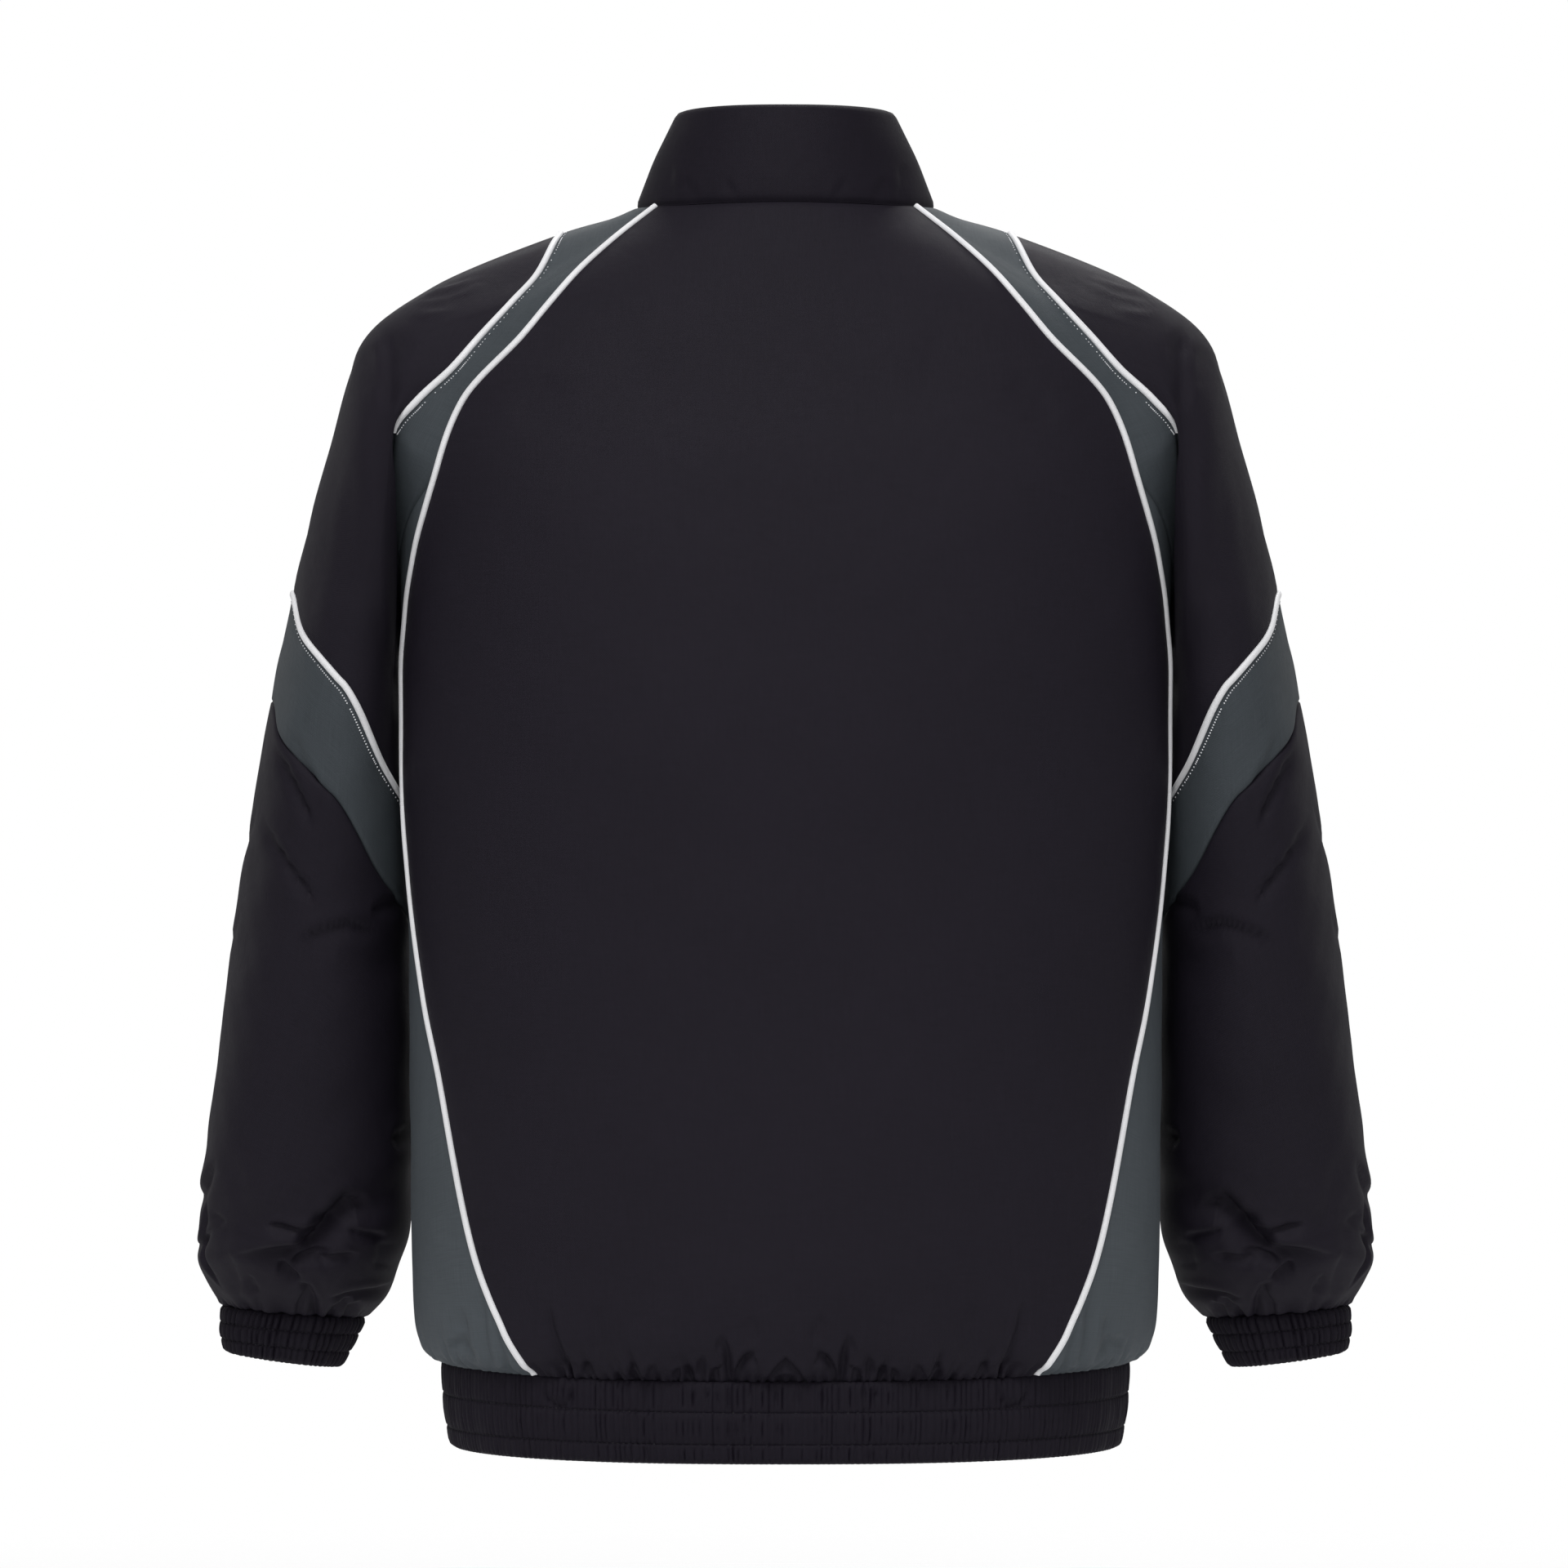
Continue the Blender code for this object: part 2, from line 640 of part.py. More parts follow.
def wall(outer, inner, closed):
    """A bmesh with an outer and an inner skin, joined round their edges."""
    mesh_data = bmesh.new()
    skins = [[[mesh_data.verts.new(p) for p in row] for row in skin] for skin in (outer, inner)]
    add_grid_faces(mesh_data, skins[0], closed, False)
    add_grid_faces(mesh_data, skins[1], closed, True)
    for row in (0, -1):
        add_rim_faces(mesh_data, skins[0][row], skins[1][row], closed)
    if not closed:
        for side in (0, -1):
            edges = [[row[side] for row in skin] for skin in skins]
            add_rim_faces(mesh_data, edges[0], edges[1], False)
    return mesh_data


def inset(grid, closed):
    """The grid with its edges drawn in by half a seam gap."""
    drawn = grid.copy()
    for edge, within in ((0, 1), (-1, -2)):
        drawn[edge] += unit(grid[within] - grid[edge]) * SEAM_GAP / 2
        if not closed:
            drawn[:, edge] += unit(grid[:, within] - grid[:, edge]) * SEAM_GAP / 2
    return drawn


def cloth(name, grid, normals, colour, closed=False, mirror=False, ribs=None):
    """A cut piece as a wall under its outer points. Ribs stand out of these over a plain inside."""
    drawn = inset(grid, closed)
    outer = drawn if ribs is None else drawn + normals * ribs[..., None]
    mesh_data = wall(outer, drawn - normals * WALL, closed)
    return add_object(name, mesh_data, colour, 0.8, mirror=mirror)


def piping(name, seam, normals, one_side, other_side, closed=False, mirror=False):
    """A half-round strip over a seam. Its base follows the faces on both sides."""
    if not closed:
        for edge, within in ((0, 1), (-1, -2)):
            step = unit(seam[within] - seam[edge]) * PIPING_END
            for line in (seam, one_side, other_side):
                line[edge] = line[edge] + step
    left, right = unit(one_side - seam), unit(other_side - seam)
    half = PIPING_WIDTH / 2
    base = seam + normals * PIPING_LIFT
    top = normals * PIPING_HEIGHT
    section = [base + left * half, base, base + right * half]
    crown = [base + top * PIPING_SHOULDER_UP + way * half * PIPING_SHOULDER_OUT for way in (right, left)]
    section += [crown[0], base + top, crown[1]]
    mesh_data = bmesh.new()
    rows = [[mesh_data.verts.new(p) for p in ring] for ring in np.stack(section, axis=1)]
    count = len(rows)
    for k in range(count if closed else count - 1):
        add_grid_faces(mesh_data, [rows[k], rows[(k + 1) % count]], True, False)
    if not closed:
        mesh_data.faces.new(rows[0])
        mesh_data.faces.new(rows[-1][::-1])
    return add_object(name, mesh_data, PALE, 0.5, mirror=mirror)


def gather_wave(columns):
    """Out at every other column."""
    return np.where(np.arange(columns) % 2 == 0, 0.0, GATHER_HEIGHT)


# Trim: hem band, cuffs, collar and zip


def evenly(points, count):
    """Count + 1 points at even steps along a line of points."""
    lengths = np.concatenate([[0], np.cumsum(np.linalg.norm(np.diff(points, axis=0), axis=1))])
    at = np.linspace(0, lengths[-1], count + 1)
    return np.stack([np.interp(at, lengths, points[:, c]) for c in range(3)], axis=-1)


def hem_grid():
    """The hem band's plain outer form, from the zip round the left side, the back and the right side."""
    rows = []
    power = 2 / TORSO["power"][-1]
    levels = np.linspace(HEM_EDGE, HEM_LEVEL, HEM_ROWS + 1)
    for level in levels:
        half, back, front = (smooth(level, HEM["z"], HEM[c]) for c in ("half_width", "back", "front"))
        start = math.acos((ZIP_HALF / half) ** (1 / power))
        angle = np.linspace(-start, math.pi / 2, FINE_STEPS)
        x = half * np.abs(np.cos(angle)) ** power
        reach = np.where(angle > 0, back - MIDDLE_Y, MIDDLE_Y - front)
        y = MIDDLE_Y + np.sign(angle) * reach * np.abs(np.sin(angle)) ** power
        up = (level - HEM_EDGE) / (HEM_LEVEL - HEM_EDGE)
        rise = (HEM_EDGE_RISE + up * (SIDE_RISE - HEM_EDGE_RISE)) * np.cos(angle) ** 2
        left = evenly(np.stack([x, y, level + rise], axis=-1), HEM_GATHERS)
        right = left[::-1] * [-1, 1, 1]
        rows.append(np.concatenate([left[:-1], right]))
    grid = np.array(rows)
    across = np.gradient(grid, axis=1)
    return grid, unit(np.cross(across, np.gradient(grid, axis=0)))


def cuff_grid():
    turns = np.linspace(0, 360, 2 * CUFF_GATHERS, endpoint=False)
    grid = np.array([section_ring(CUFF, k, turns) for k in range(CUFF_ROWS + 1)])
    return grid, grid_normals(grid)


def collar_grid(neck):
    """The collar over the neck seam's points, which run from the zip's left round the back to its right."""
    reach = np.where(neck[:, 1] > MIDDLE_Y, TORSO["back"][1] - MIDDLE_Y, MIDDLE_Y - TORSO["front"][4])
    angle = np.arctan2((neck[:, 1] - MIDDLE_Y) / reach, neck[:, 0] / NECK_HALF)
    x = COLLAR_HALF * np.cos(angle)
    before = np.sin(angle) < 0
    least = np.where(before, ZIP_HALF, 0.0)
    x = np.sign(neck[:, 0]) * np.maximum(np.abs(x), least)
    y = COLLAR_MIDDLE_Y + np.where(before, COLLAR_FRONT, COLLAR_BACK) * np.sin(angle)
    z = COLLAR_TOP - COLLAR_CORNER * np.cos(angle) ** 4
    z = z - COLLAR_DROP * np.clip(-np.sin(angle), 0, 1) ** NECK_DROP_POWER
    top = np.stack([x, y, z], axis=-1)
    outward = np.stack([np.cos(angle), np.sin(angle), 0 * angle], axis=-1)
    rows = []
    for t in np.linspace(0, 1, COLLAR_ROWS + 1):
        bulge = COLLAR_BULGE * 4 * t * (1 - t)
        rows.append(neck + t * (top - neck) + outward * bulge)
    grid = np.array(rows)
    across = np.gradient(grid, axis=1)
    return grid, unit(np.cross(across, np.gradient(grid, axis=0)))


def tape(name, edge, normals, mirror):
    """Half the zip's tape, along the cloth's edge from the hem to the collar's top."""
    outer = edge - normals * TAPE_SINK
    near, far = outer.copy(), outer.copy()
    near[:, 0] = SEAM_GAP / 2
    far[:, 0] = ZIP_HALF - SEAM_GAP / 2
    grid = np.stack([near, far], axis=1)
    inward = np.stack([normals, normals], axis=1)
    inward[..., 0] = 0
    mesh_data = wall(grid, grid - unit(inward) * TAPE_WALL, False)
    add_object(name, mesh_data, BLACK, 0.7, mirror=mirror)


def block(width, low, high):
    """A plain block: its width along X, and its lowest and highest corners across and along the zip."""
    mesh_data = bmesh.new()
    bmesh.ops.create_cube(mesh_data, size=1.0)
    size = (width, high[0] - low[0], high[1] - low[1])
    bmesh.ops.scale(mesh_data, vec=size, verts=mesh_data.verts)
    middle = (0, (low[0] + high[0]) / 2, (low[1] + high[1]) / 2)
    bmesh.ops.translate(mesh_data, vec=middle, verts=mesh_data.verts)
    return mesh_data


def frame_of(width, outline, hole):
    """A frame: an outline and a hole of as many points, carried through the width."""
    mesh_data = bmesh.new()
    rings = []
    for x, loop in ((-width / 2, outline), (width / 2, outline), (width / 2, hole), (-width / 2, hole)):
        rings.append([mesh_data.verts.new((x, y, z)) for y, z in loop])
    for k in range(4):
        add_grid_faces(mesh_data, [rings[k], rings[(k + 1) % 4]], True, False)
    return mesh_data


def add_slider(at, tilt):
    """The slider's plate with the bridge that the pull hangs on. Its own Y points out of the cloth."""
    plate = block(SLIDER_WIDTH, (0, -SLIDER_LENGTH / 2), (SLIDER_THICK, SLIDER_LENGTH / 2))
    slider = add_object("zip_slider", plate, DARK_METAL, 0.35, metallic=0.9, at=at)
    base = SLIDER_THICK / 2
    angles = np.linspace(0, math.pi, 7)
    arch = [(SLIDER_THICK + BRIDGE_RISE * math.sin(a), BRIDGE_HALF * math.cos(a)) for a in angles]
    under = [
        (SLIDER_THICK + (BRIDGE_RISE - BRIDGE_BAR) * math.sin(a), (BRIDGE_HALF - BRIDGE_BAR) * math.cos(a))
        for a in angles
    ]
    outline = [(base, BRIDGE_HALF)] + arch + [(base, -BRIDGE_HALF)]
    hole_foot = SLIDER_THICK - BRIDGE_SINK
    inner = BRIDGE_HALF - BRIDGE_BAR
    hole = [(hole_foot, inner)] + under + [(hole_foot, -inner)]
    bridge = add_object("bridge", frame_of(BRIDGE_WIDTH, outline, hole), DARK_METAL, 0.35, at=at)
    for made in (slider, bridge):
        made.rotation_euler = (tilt, 0, 0)
    bridge.hide_render = True
    bridge.display_type = "WIRE"
    joined = slider.modifiers.new("bridge", "BOOLEAN")
    joined.operation = "UNION"
    joined.solver = "EXACT"
    joined.object = bridge
    slider.data.shade_flat()


def add_pull(pivot, tilt):
    """The pull tab: a plate with a window that the bridge passes through, hung by the bar across its top."""
    half = PULL_WIDTH / 2
    window = half - PULL_RAIL
    bar = PULL_BAR / 2
    foot = PULL_LENGTH - bar
    tip, corner = half * PULL_TIP, half * PULL_CORNER - foot
    outline = [(-half, bar), (half, bar), (half, -PULL_WINDOW), (half, corner), (tip, -foot)]
    outline += [(-tip, -foot), (-half, corner), (-half, -PULL_WINDOW)]
    sill, jamb = window * WINDOW_SILL, -PULL_WINDOW * WINDOW_JAMB
    hole = [(-window, -bar), (window, -bar), (window, jamb), (window, -PULL_WINDOW)]
    hole += [(sill, -PULL_WINDOW), (-sill, -PULL_WINDOW), (-window, -PULL_WINDOW), (-window, jamb)]
    mesh_data = bmesh.new()
    rings = []
    for y, loop in ((-PULL_THICK / 2, outline), (PULL_THICK / 2, outline), (PULL_THICK / 2, hole)):
        rings.append([mesh_data.verts.new((x, y, z)) for x, z in loop])
    rings.append([mesh_data.verts.new((x, -PULL_THICK / 2, z)) for x, z in hole])
    for k in range(4):
        add_grid_faces(mesh_data, [rings[k], rings[(k + 1) % 4]], True, False)
    pull = add_object("zip_pull", mesh_data, DARK_METAL, 0.35, metallic=0.9, at=pivot)
    pull.rotation_euler = (tilt, 0, 0)


# Putting it together

SIDES = (("left", False), ("right", True))


def add_sleeves(grid, normals):
    head = BAND_ROWS
    band_top = head + UPPER_ROWS
    band_bottom = band_top + SLEEVE_BAND_ROWS
    pieces = [
        ("shoulder_band", 0, head, GREY),
        ("upper_sleeve", head, band_top, BLACK),
        ("sleeve_band", band_top, band_bottom, GREY),
        ("lower_sleeve", band_bottom, len(grid) - 1, BLACK),
    ]
    cuff, cuff_normals = cuff_grid()
    ribs = np.broadcast_to(gather_wave(cuff.shape[1]), cuff.shape[:2])
    for side, mirror in SIDES:
        for name, first, last, colour in pieces:
            rows = slice(first, last + 1)
            cloth(f"{name}_{side}", grid[rows], normals[rows], colour, closed=True, mirror=mirror)
        cloth(f"cuff_{side}", cuff, cuff_normals, BLACK, closed=True, mirror=mirror, ribs=ribs)
        over = np.arange(-HEAD_PIPING_COLUMNS, HEAD_PIPING_COLUMNS + 1)
        lines = (grid[head, over], normals[head, over], grid[head - 1, over], grid[head + 1, over])
        piping(f"shoulder_piping_{side}", *lines, mirror=mirror)
        lines = (grid[band_top], normals[band_top], grid[band_top - 1], grid[band_top + 1])
        piping(f"sleeve_piping_{side}", *lines, closed=True, mirror=mirror)


def add_seam_piping(name, body, body_normals, side_panel_points, band_rows, mirror):
    """Piping up a long seam: beside the side panel to the branch, then beside the shoulder band."""
    seam, normals, within = body[:, -1], body_normals[:, -1], body[:, -2]
    beside = np.concatenate([side_panel_points, band_rows])
    piping(name, seam.copy(), normals, within.copy(), beside, mirror=mirror)


def build():
    for old in list(bpy.data.objects):
        bpy.data.objects.remove(old)

    sleeve, sleeve_normals = sleeve_grid()
    back, back_normals = back_panel()
    front, front_normals = front_panel()
    side, side_normals = side_panel()

    # Panels take the shoulder band's normals where they are sewn to it, so that their edges face each other.
    seam = sleeve_normals[0]
    around = len(seam)
    front_run = np.arange(NECK_STEPS, NECK_STEPS + RAGLAN_STEPS + 1)
    under_run = np.arange(NECK_STEPS + RAGLAN_STEPS, around - NECK_STEPS - RAGLAN_STEPS + 1)
    back_run = around - front_run
    front_normals[BODY_ROWS:, -1] = seam[front_run[::-1]]
    side_normals[-1] = seam[under_run]
    back_normals[BODY_ROWS:, 0] = seam[back_run[::-1]]
    back_normals[BODY_ROWS:, -1] = seam[back_run[::-1]] * [-1, 1, 1]

    cloth("back", back, back_normals, BLACK)
    for name, mirror in SIDES:
        cloth(f"front_{name}", front, front_normals, BLACK, mirror=mirror)
        cloth(f"side_{name}", side, side_normals, GREY, mirror=mirror)
        lines = (side[:-1, -2], sleeve[1, back_run[::-1]])
        add_seam_piping(f"back_piping_{name}", back[:, ::-1], back_normals[:, ::-1], *lines, mirror)
        lines = (side[:-1, 1], sleeve[1, front_run[::-1]])
        add_seam_piping(f"front_piping_{name}", front, front_normals, *lines, mirror)
    add_sleeves(sleeve, sleeve_normals)

    hem, hem_normals = hem_grid()
    ribs = np.broadcast_to(gather_wave(hem.shape[1]), hem.shape[:2])
    cloth("hem_band", hem, hem_normals, BLACK, ribs=ribs)

    shoulder = np.roll(sleeve[0], NECK_STEPS - 1, axis=0)[: 2 * NECK_STEPS - 1][::-1]
    left_neck = np.concatenate([front[-1], shoulder])
    neck = np.concatenate([left_neck, back[-1], left_neck[::-1] * [-1, 1, 1]])
    collar, collar_normals = collar_grid(neck)
    cloth("collar", collar, collar_normals, BLACK)

    edge = np.concatenate([hem[:, 0], front[1:, 0], collar[1:, 0]])
    edge_normals = np.concatenate([hem_normals[:, 0], front_normals[1:, 0], collar_normals[1:, 0]])
    for name, mirror in SIDES:
        tape(f"zip_tape_{name}", edge, edge_normals, mirror)

    top, below = edge[-1], edge[-2]
    along = unit((top - below) * [0, 1, 1])
    tilt = math.atan2(along[1], along[2])
    outward = np.array([0, -along[2], along[1]])
    middle = np.array([0, top[1], top[2]]) - along * SLIDER_DROP + outward * SLIDER_LIFT
    add_slider(middle, math.pi - tilt)
    pivot = middle + outward * (SLIDER_THICK + (BRIDGE_RISE - BRIDGE_BAR) / 2)
    add_pull(pivot, -tilt)


build()
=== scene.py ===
"""Looks of the track jacket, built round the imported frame: fine cloth, seams, piping, gathers and zip.

Metres, +Z up. The front faces -Y, and the wearer's left is +X. Forms repeat the solids' sizes and sections.
"""

import math

import bmesh
import bpy
import numpy as np

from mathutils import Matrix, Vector


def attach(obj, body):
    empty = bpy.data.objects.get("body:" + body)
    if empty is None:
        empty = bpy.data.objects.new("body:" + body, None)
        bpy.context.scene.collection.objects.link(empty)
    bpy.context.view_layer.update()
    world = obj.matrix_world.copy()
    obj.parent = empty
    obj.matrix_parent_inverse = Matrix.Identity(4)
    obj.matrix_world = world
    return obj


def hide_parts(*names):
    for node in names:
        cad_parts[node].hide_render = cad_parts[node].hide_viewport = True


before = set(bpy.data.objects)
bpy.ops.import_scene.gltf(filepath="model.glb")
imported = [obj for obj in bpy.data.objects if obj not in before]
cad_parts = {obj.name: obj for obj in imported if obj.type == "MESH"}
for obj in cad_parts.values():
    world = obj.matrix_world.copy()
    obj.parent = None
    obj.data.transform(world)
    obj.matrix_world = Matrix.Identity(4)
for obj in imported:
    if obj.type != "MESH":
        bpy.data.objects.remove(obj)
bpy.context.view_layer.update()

# Sizes that repeat the solids'
PIPING_WIDTH = 0.0043
ZIP_HALF = 0.0065
MIDDLE_Y = -0.010
DENT_Y = -0.028
DENT_REACH = 0.060
SIDE_RISE = 0.004
HEM_LEVEL = -0.650
HEM_EDGE = -0.6955
HEM_HEIGHT = HEM_LEVEL - HEM_EDGE
HEM_EDGE_RISE = 0.0015
RISE_LEVEL = -0.580
NECK_HALF = 0.0846
NECK_LEVEL = 0.003
NECK_DROP = 0.062
NECK_DROP_POWER = 1.3
COLLAR_HALF = 0.0608
COLLAR_MIDDLE_Y = -0.012
COLLAR_BACK = 0.060
COLLAR_FRONT = 0.058
COLLAR_TOP = 0.0575
COLLAR_DROP = 0.050
COLLAR_SQUARE = 0.85
COLLAR_BULGE = 0.0015
PUCKER_DEPTH = 0.0022
PUCKER_WIDTH = 0.052
PUCKER_REACH = 0.055
PUCKER_START = 0.006
PUCKER_SLANT = 0.7
PUCKER_UNEVEN = 1.3
PUCKER_DRIFT = 0.273
SLEEVE_POWER = 2.2
TURN_POWER = 1.2
FRONT_SHARE = 0.9
RIDGE_Y = -0.008
BRANCH_LEVEL = -0.151
FINE_STEPS = 400

# Counts of faces, finer than the solids'
BACK_COLUMNS = 380
FRONT_COLUMNS = 100
NECK_STEPS = 22
RAGLAN_STEPS = 52
ARMHOLE_STEPS = 30
HALF_LOOP = NECK_STEPS + RAGLAN_STEPS + ARMHOLE_STEPS
BODY_ROWS = 140
BAND_ROWS = 18
NECK_ROW = 0.001  # height of the row at the neck seam
UPPER_ROWS = 52
SLEEVE_BAND_ROWS = 20
LOWER_ROWS = 165
COLLAR_ROWS = 26
HEM_COLUMNS = 560  # each half
HEM_ROWS = 20
CUFF_COLUMNS = 420
CUFF_LENGTH = 0.028
CUFF_ROWS = 18
HEAD_PIPING_COLUMNS = 74  # on each side of the ridge

# The cloth's roll into a seam
SHELL = 0.0009
SEAM_DEPTH = 0.0017
SEAM_REACH = 0.0012
HEM_SEAM = 0.5  # the share of SEAM_DEPTH at the hem band's seam
ALLOWANCE = 0.0022  # how much deeper the cloth is at a seam, for the edges turned in there
ALLOWANCE_REACH = 0.005
INNER_STEP = 7  # rows of the outer skin for each of the inner one

# Folds. A trough is shares of the fold's width wide, wider on the side that its steep wall isn't on.
FOLD_END = 0.005  # over this, or over FOLD_TAPER of its line, a fold narrows and dies out at each end
FOLD_TAPER = 0.28
FOLD_TIP = 0.45  # a fold's width at its very end, as a share
TROUGH = (0.9, 2.4)  # reach on its steep side and on its gentle one
RIDGE, RIDGE_AT, RIDGE_REACH = 0.22, 2.5, 1.6
SIDE_START = -0.2  # OUTER_FOLDS count Y from here
HIDDEN_SHIFT = (-0.006, 0.0, 0.017)  # the same folds, moved so, lie on the side away from the camera
HIDDEN_BACK_SHIFT = (0.012, 0.0, 0.003)
HIDDEN_DEPTH = 0.85
LEVELLING = 0.007  # this near an elastic band, folds move the cloth straight in and out
SEAM_SINK = 0.0024  # the most that a fold may sink where it meets an elastic band
SINK_SLOPE = 0.6  # and how fast it may sink further away from there
SLEEVE_FADE = 0.016  # folds die out this near the seam between torso and sleeve

# Gathers at the seams of the hem band and the cuffs
BODY_GATHERS = 96  # each half
BODY_GATHER_SIZES = ((3, 0.0020, 0.0012, 0.010), (4, 0.0016, 0.0015, 0.020))  # seed, depth, width, height
CUFF_ROUND = 0.27
CUFF_PLEATS = 14
CUFF_GATHER_SIZES = ((11, 0.0018, 0.0040, 0.016), (12, 0.0012, 0.0012, 0.008))
BAND_GATHERS = 150  # each half
CUFF_BAND_GATHERS = 58
HEM_STITCHES = (0.24, 0.63)  # the stitch lines' heights, as shares of the band's
CUFF_STITCHES = (0.34, 0.69)
GROOVE_ROWS = (-0.0011, -0.0005, 0.0, 0.0005, 0.0011)  # metres from a stitch line
GROOVE_CLEAR = 0.0014  # other rows stay this far from it
GROOVE_WIDTH = 0.0006
GROOVE_DEPTH = 0.0006

# Unevenness of the cloth: depth, seed, scale, and how many times longer it is upright
BODY_UNEVEN = ((0.0007, 5, 0.13, 2.5), (0.0003, 6, 0.035, 1.5))
SLEEVE_UNEVEN = ((0.0009, 8, 0.08, 1.6), (0.0004, 9, 0.030, 1.2))
COLLAR_UNEVEN = ((0.0005, 14, 0.05, 0.8),)

# Piping's half width, rise and sink; and stitches: pitch, length, width and rise
PIPING_SIZES = (0.46 * PIPING_WIDTH, 0.0020, 0.0012)
DARK_STITCH = (0.0024, 0.0015, 0.0006, 0.0003)
SHOULDER_STITCH = (0.0024, 0.0010, 0.0008, 0.0004)
SLEEVE_STITCH = (0.0030, 0.0011, 0.0011, 0.0005)
SHOULDER_AWAY, SLEEVE_AWAY, ZIP_AWAY = 0.0040, -0.0042, 0.0032  # from the piping or from the zip

TOOTH_PITCH = 0.00125
TOOTH = (0.0030, 0.00085, 0.0014)  # along X, along the zip and outward
TOOTH_BASE = ((1, 1, 0), (1, -1, 0), (-1, -1, 0), (-1, 1, 0))
TOOTH_TOP = ((0.72, 0.7, 1), (0.72, -0.7, 1), (-0.6, -0.7, 1), (-0.6, 0.7, 1))
SLIDER_TOP = 0.0095  # how far below the collar's edge the teeth end

BLACK = (0.0124, 0.0100, 0.0166)
# A darker copy of BLACK: painted shade that darkens the hem band, the cuffs and the collar.
PAINTED_SHADE_BLACK = (0.0098, 0.0076, 0.0134)
GREY = (0.058, 0.068, 0.077)
# A lighter copy of GREY for the side panels. A little of it is the sides' own paler grey, and most of it is
# painted light on sides that turn away from the lamps.
SIDE_GREY_PAINTED_LIGHT = (0.077, 0.089, 0.100)
PALE = (0.93, 0.93, 0.95)
THREAD_PITCH = 0.00085
RIB_PITCH = 0.0011
FLOOR_LEVEL = -0.90
CAMERA_AT = (0.0009, 4.4, -0.322)

SIDES = ("left", "right")
# Which edges of a piece roll into a seam, and how deep, as shares of SEAM_DEPTH
ENDS = {"first_row": 1.0, "last_row": 1.0}
EVERY = {**ENDS, "first_column": 1.0, "last_column": 1.0}
BODY = {**EVERY, "first_row": HEM_SEAM}
HEM_EDGES = {**EVERY, "last_row": HEM_SEAM}

# Tables, in millimetres but for the columns named here
PLAIN = {"power", "share", "turn", "along"}


def table(columns, *rows):
    """A short table: the name of each column, and its values in metres, or plain, as an array."""
    read = zip(columns.split(), np.array(rows, float).T)
    return {name: values if name in PLAIN else np.round(values / 1000, 7) for name, values in read}


# The torso's level sections, from the neck down.
TORSO = table(
    "z half_width back front power dent",
    (12, 70, 58, -56, 2, 0), (3, 84.6, 62, -60, 2, 0), (-25, 140, 75, -64, 2.2, 0),
    (-50, 188, 88, -73, 2.3, 0), (-75, 211, 99, -84, 2.4, 0), (-100, 221, 108, -96, 2.4, 0),
    (-150, 222, 123, -115, 2.5, 8), (-190, 220, 130, -126, 2.5, 15), (-235, 218.5, 135, -132, 2.5, 21),
    (-270, 218, 138, -134, 2.5, 21), (-310, 217.5, 139, -135, 2.5, 18), (-350, 216, 139, -135, 2.5, 14),
    (-400, 213.5, 139, -134, 2.5, 5), (-440, 212.6, 138.5, -133.5, 2.5, 0),
    (-545, 211.8, 136, -132, 2.5, 0), (-600, 210.6, 134, -131, 2.5, 0),
    (-625, 208.5, 131, -129, 2.5, 0), (-640, 204.5, 126, -124, 2.5, 0),
    (-650, 195.7, 119, -118, 2.5, 0),
)
# The hem band's level sections.
HEM = table(
    "z half_width back front",
    (-650, 193.7, 119, -118), (-672, 192.6, 120, -119), (-695.5, 188.7, 117.5, -116.5),
)
# The long seam between back and side: how far out it runs at each level.
BACK_SEAM = table(
    "z x",
    (2.4, 71.5), (-17, 94.9), (-36, 114.8), (-55, 130.8), (-73, 145.3), (-109, 178.7), (-127, 187.1),
    (-151, 194.5), (-199, 208), (-226, 212.4), (-260, 214.6), (-310, 214.6), (-372, 210.6),
    (-409, 206.6), (-445, 200.5), (-481, 193.1), (-552, 179.4), (-588, 170.1), (-623, 155.4),
    (-650, 138.2),
)
# The front seam's upper stretch. From the branch down it mirrors the back's.
FRONT_SEAM = table(
    "z x",
    (-24.5, 71.5), (-50, 98), (-75, 128.5), (-100, 156), (-125, 179), (-151, 194.5),
)
# The armhole seam's level, by its share of the way from the back seam to the front's.
ARMHOLE = table(
    "share z",
    (0, -151), (0.125, -172), (0.25, -196), (0.375, -220), (0.5, -235),
)
# Back half of the ring where sleeve head and shoulder band meet: share 0 is its ridge and 1 the underarm.
HEAD_SEAM = table(
    "share x y z",
    (0, 127, -8, -11.5), (0.107, 130, 18, -18.5), (0.214, 138.5, 40, -37.2), (0.32, 152, 54, -53.5),
    (0.43, 169.1, 63, -72.6), (0.54, 185, 68, -91), (0.64, 204.5, 68, -109.2),
    (0.714, 218.3, 60, -126.9), (0.786, 220.5, 46, -152), (0.857, 222.5, 26, -184),
    (0.929, 218.5, 4, -215), (1, 210, -14, -240),
)
# Back half of the ring where the sleeve folds over that seam.
HEAD_FOLD = table(
    "share x y z",
    (0, 200, -8, -42), (0.107, 200.5, 18, -46.5), (0.214, 204, 38, -58), (0.32, 207.5, 52, -73),
    (0.43, 211, 62, -90), (0.54, 215, 67, -105), (0.64, 217, 70, -120), (0.714, 218, 69, -135),
    (0.786, 216.5, 64, -156), (0.857, 216, 53, -188), (0.929, 218.5, 28, -229), (1, 215, -12, -252),
)
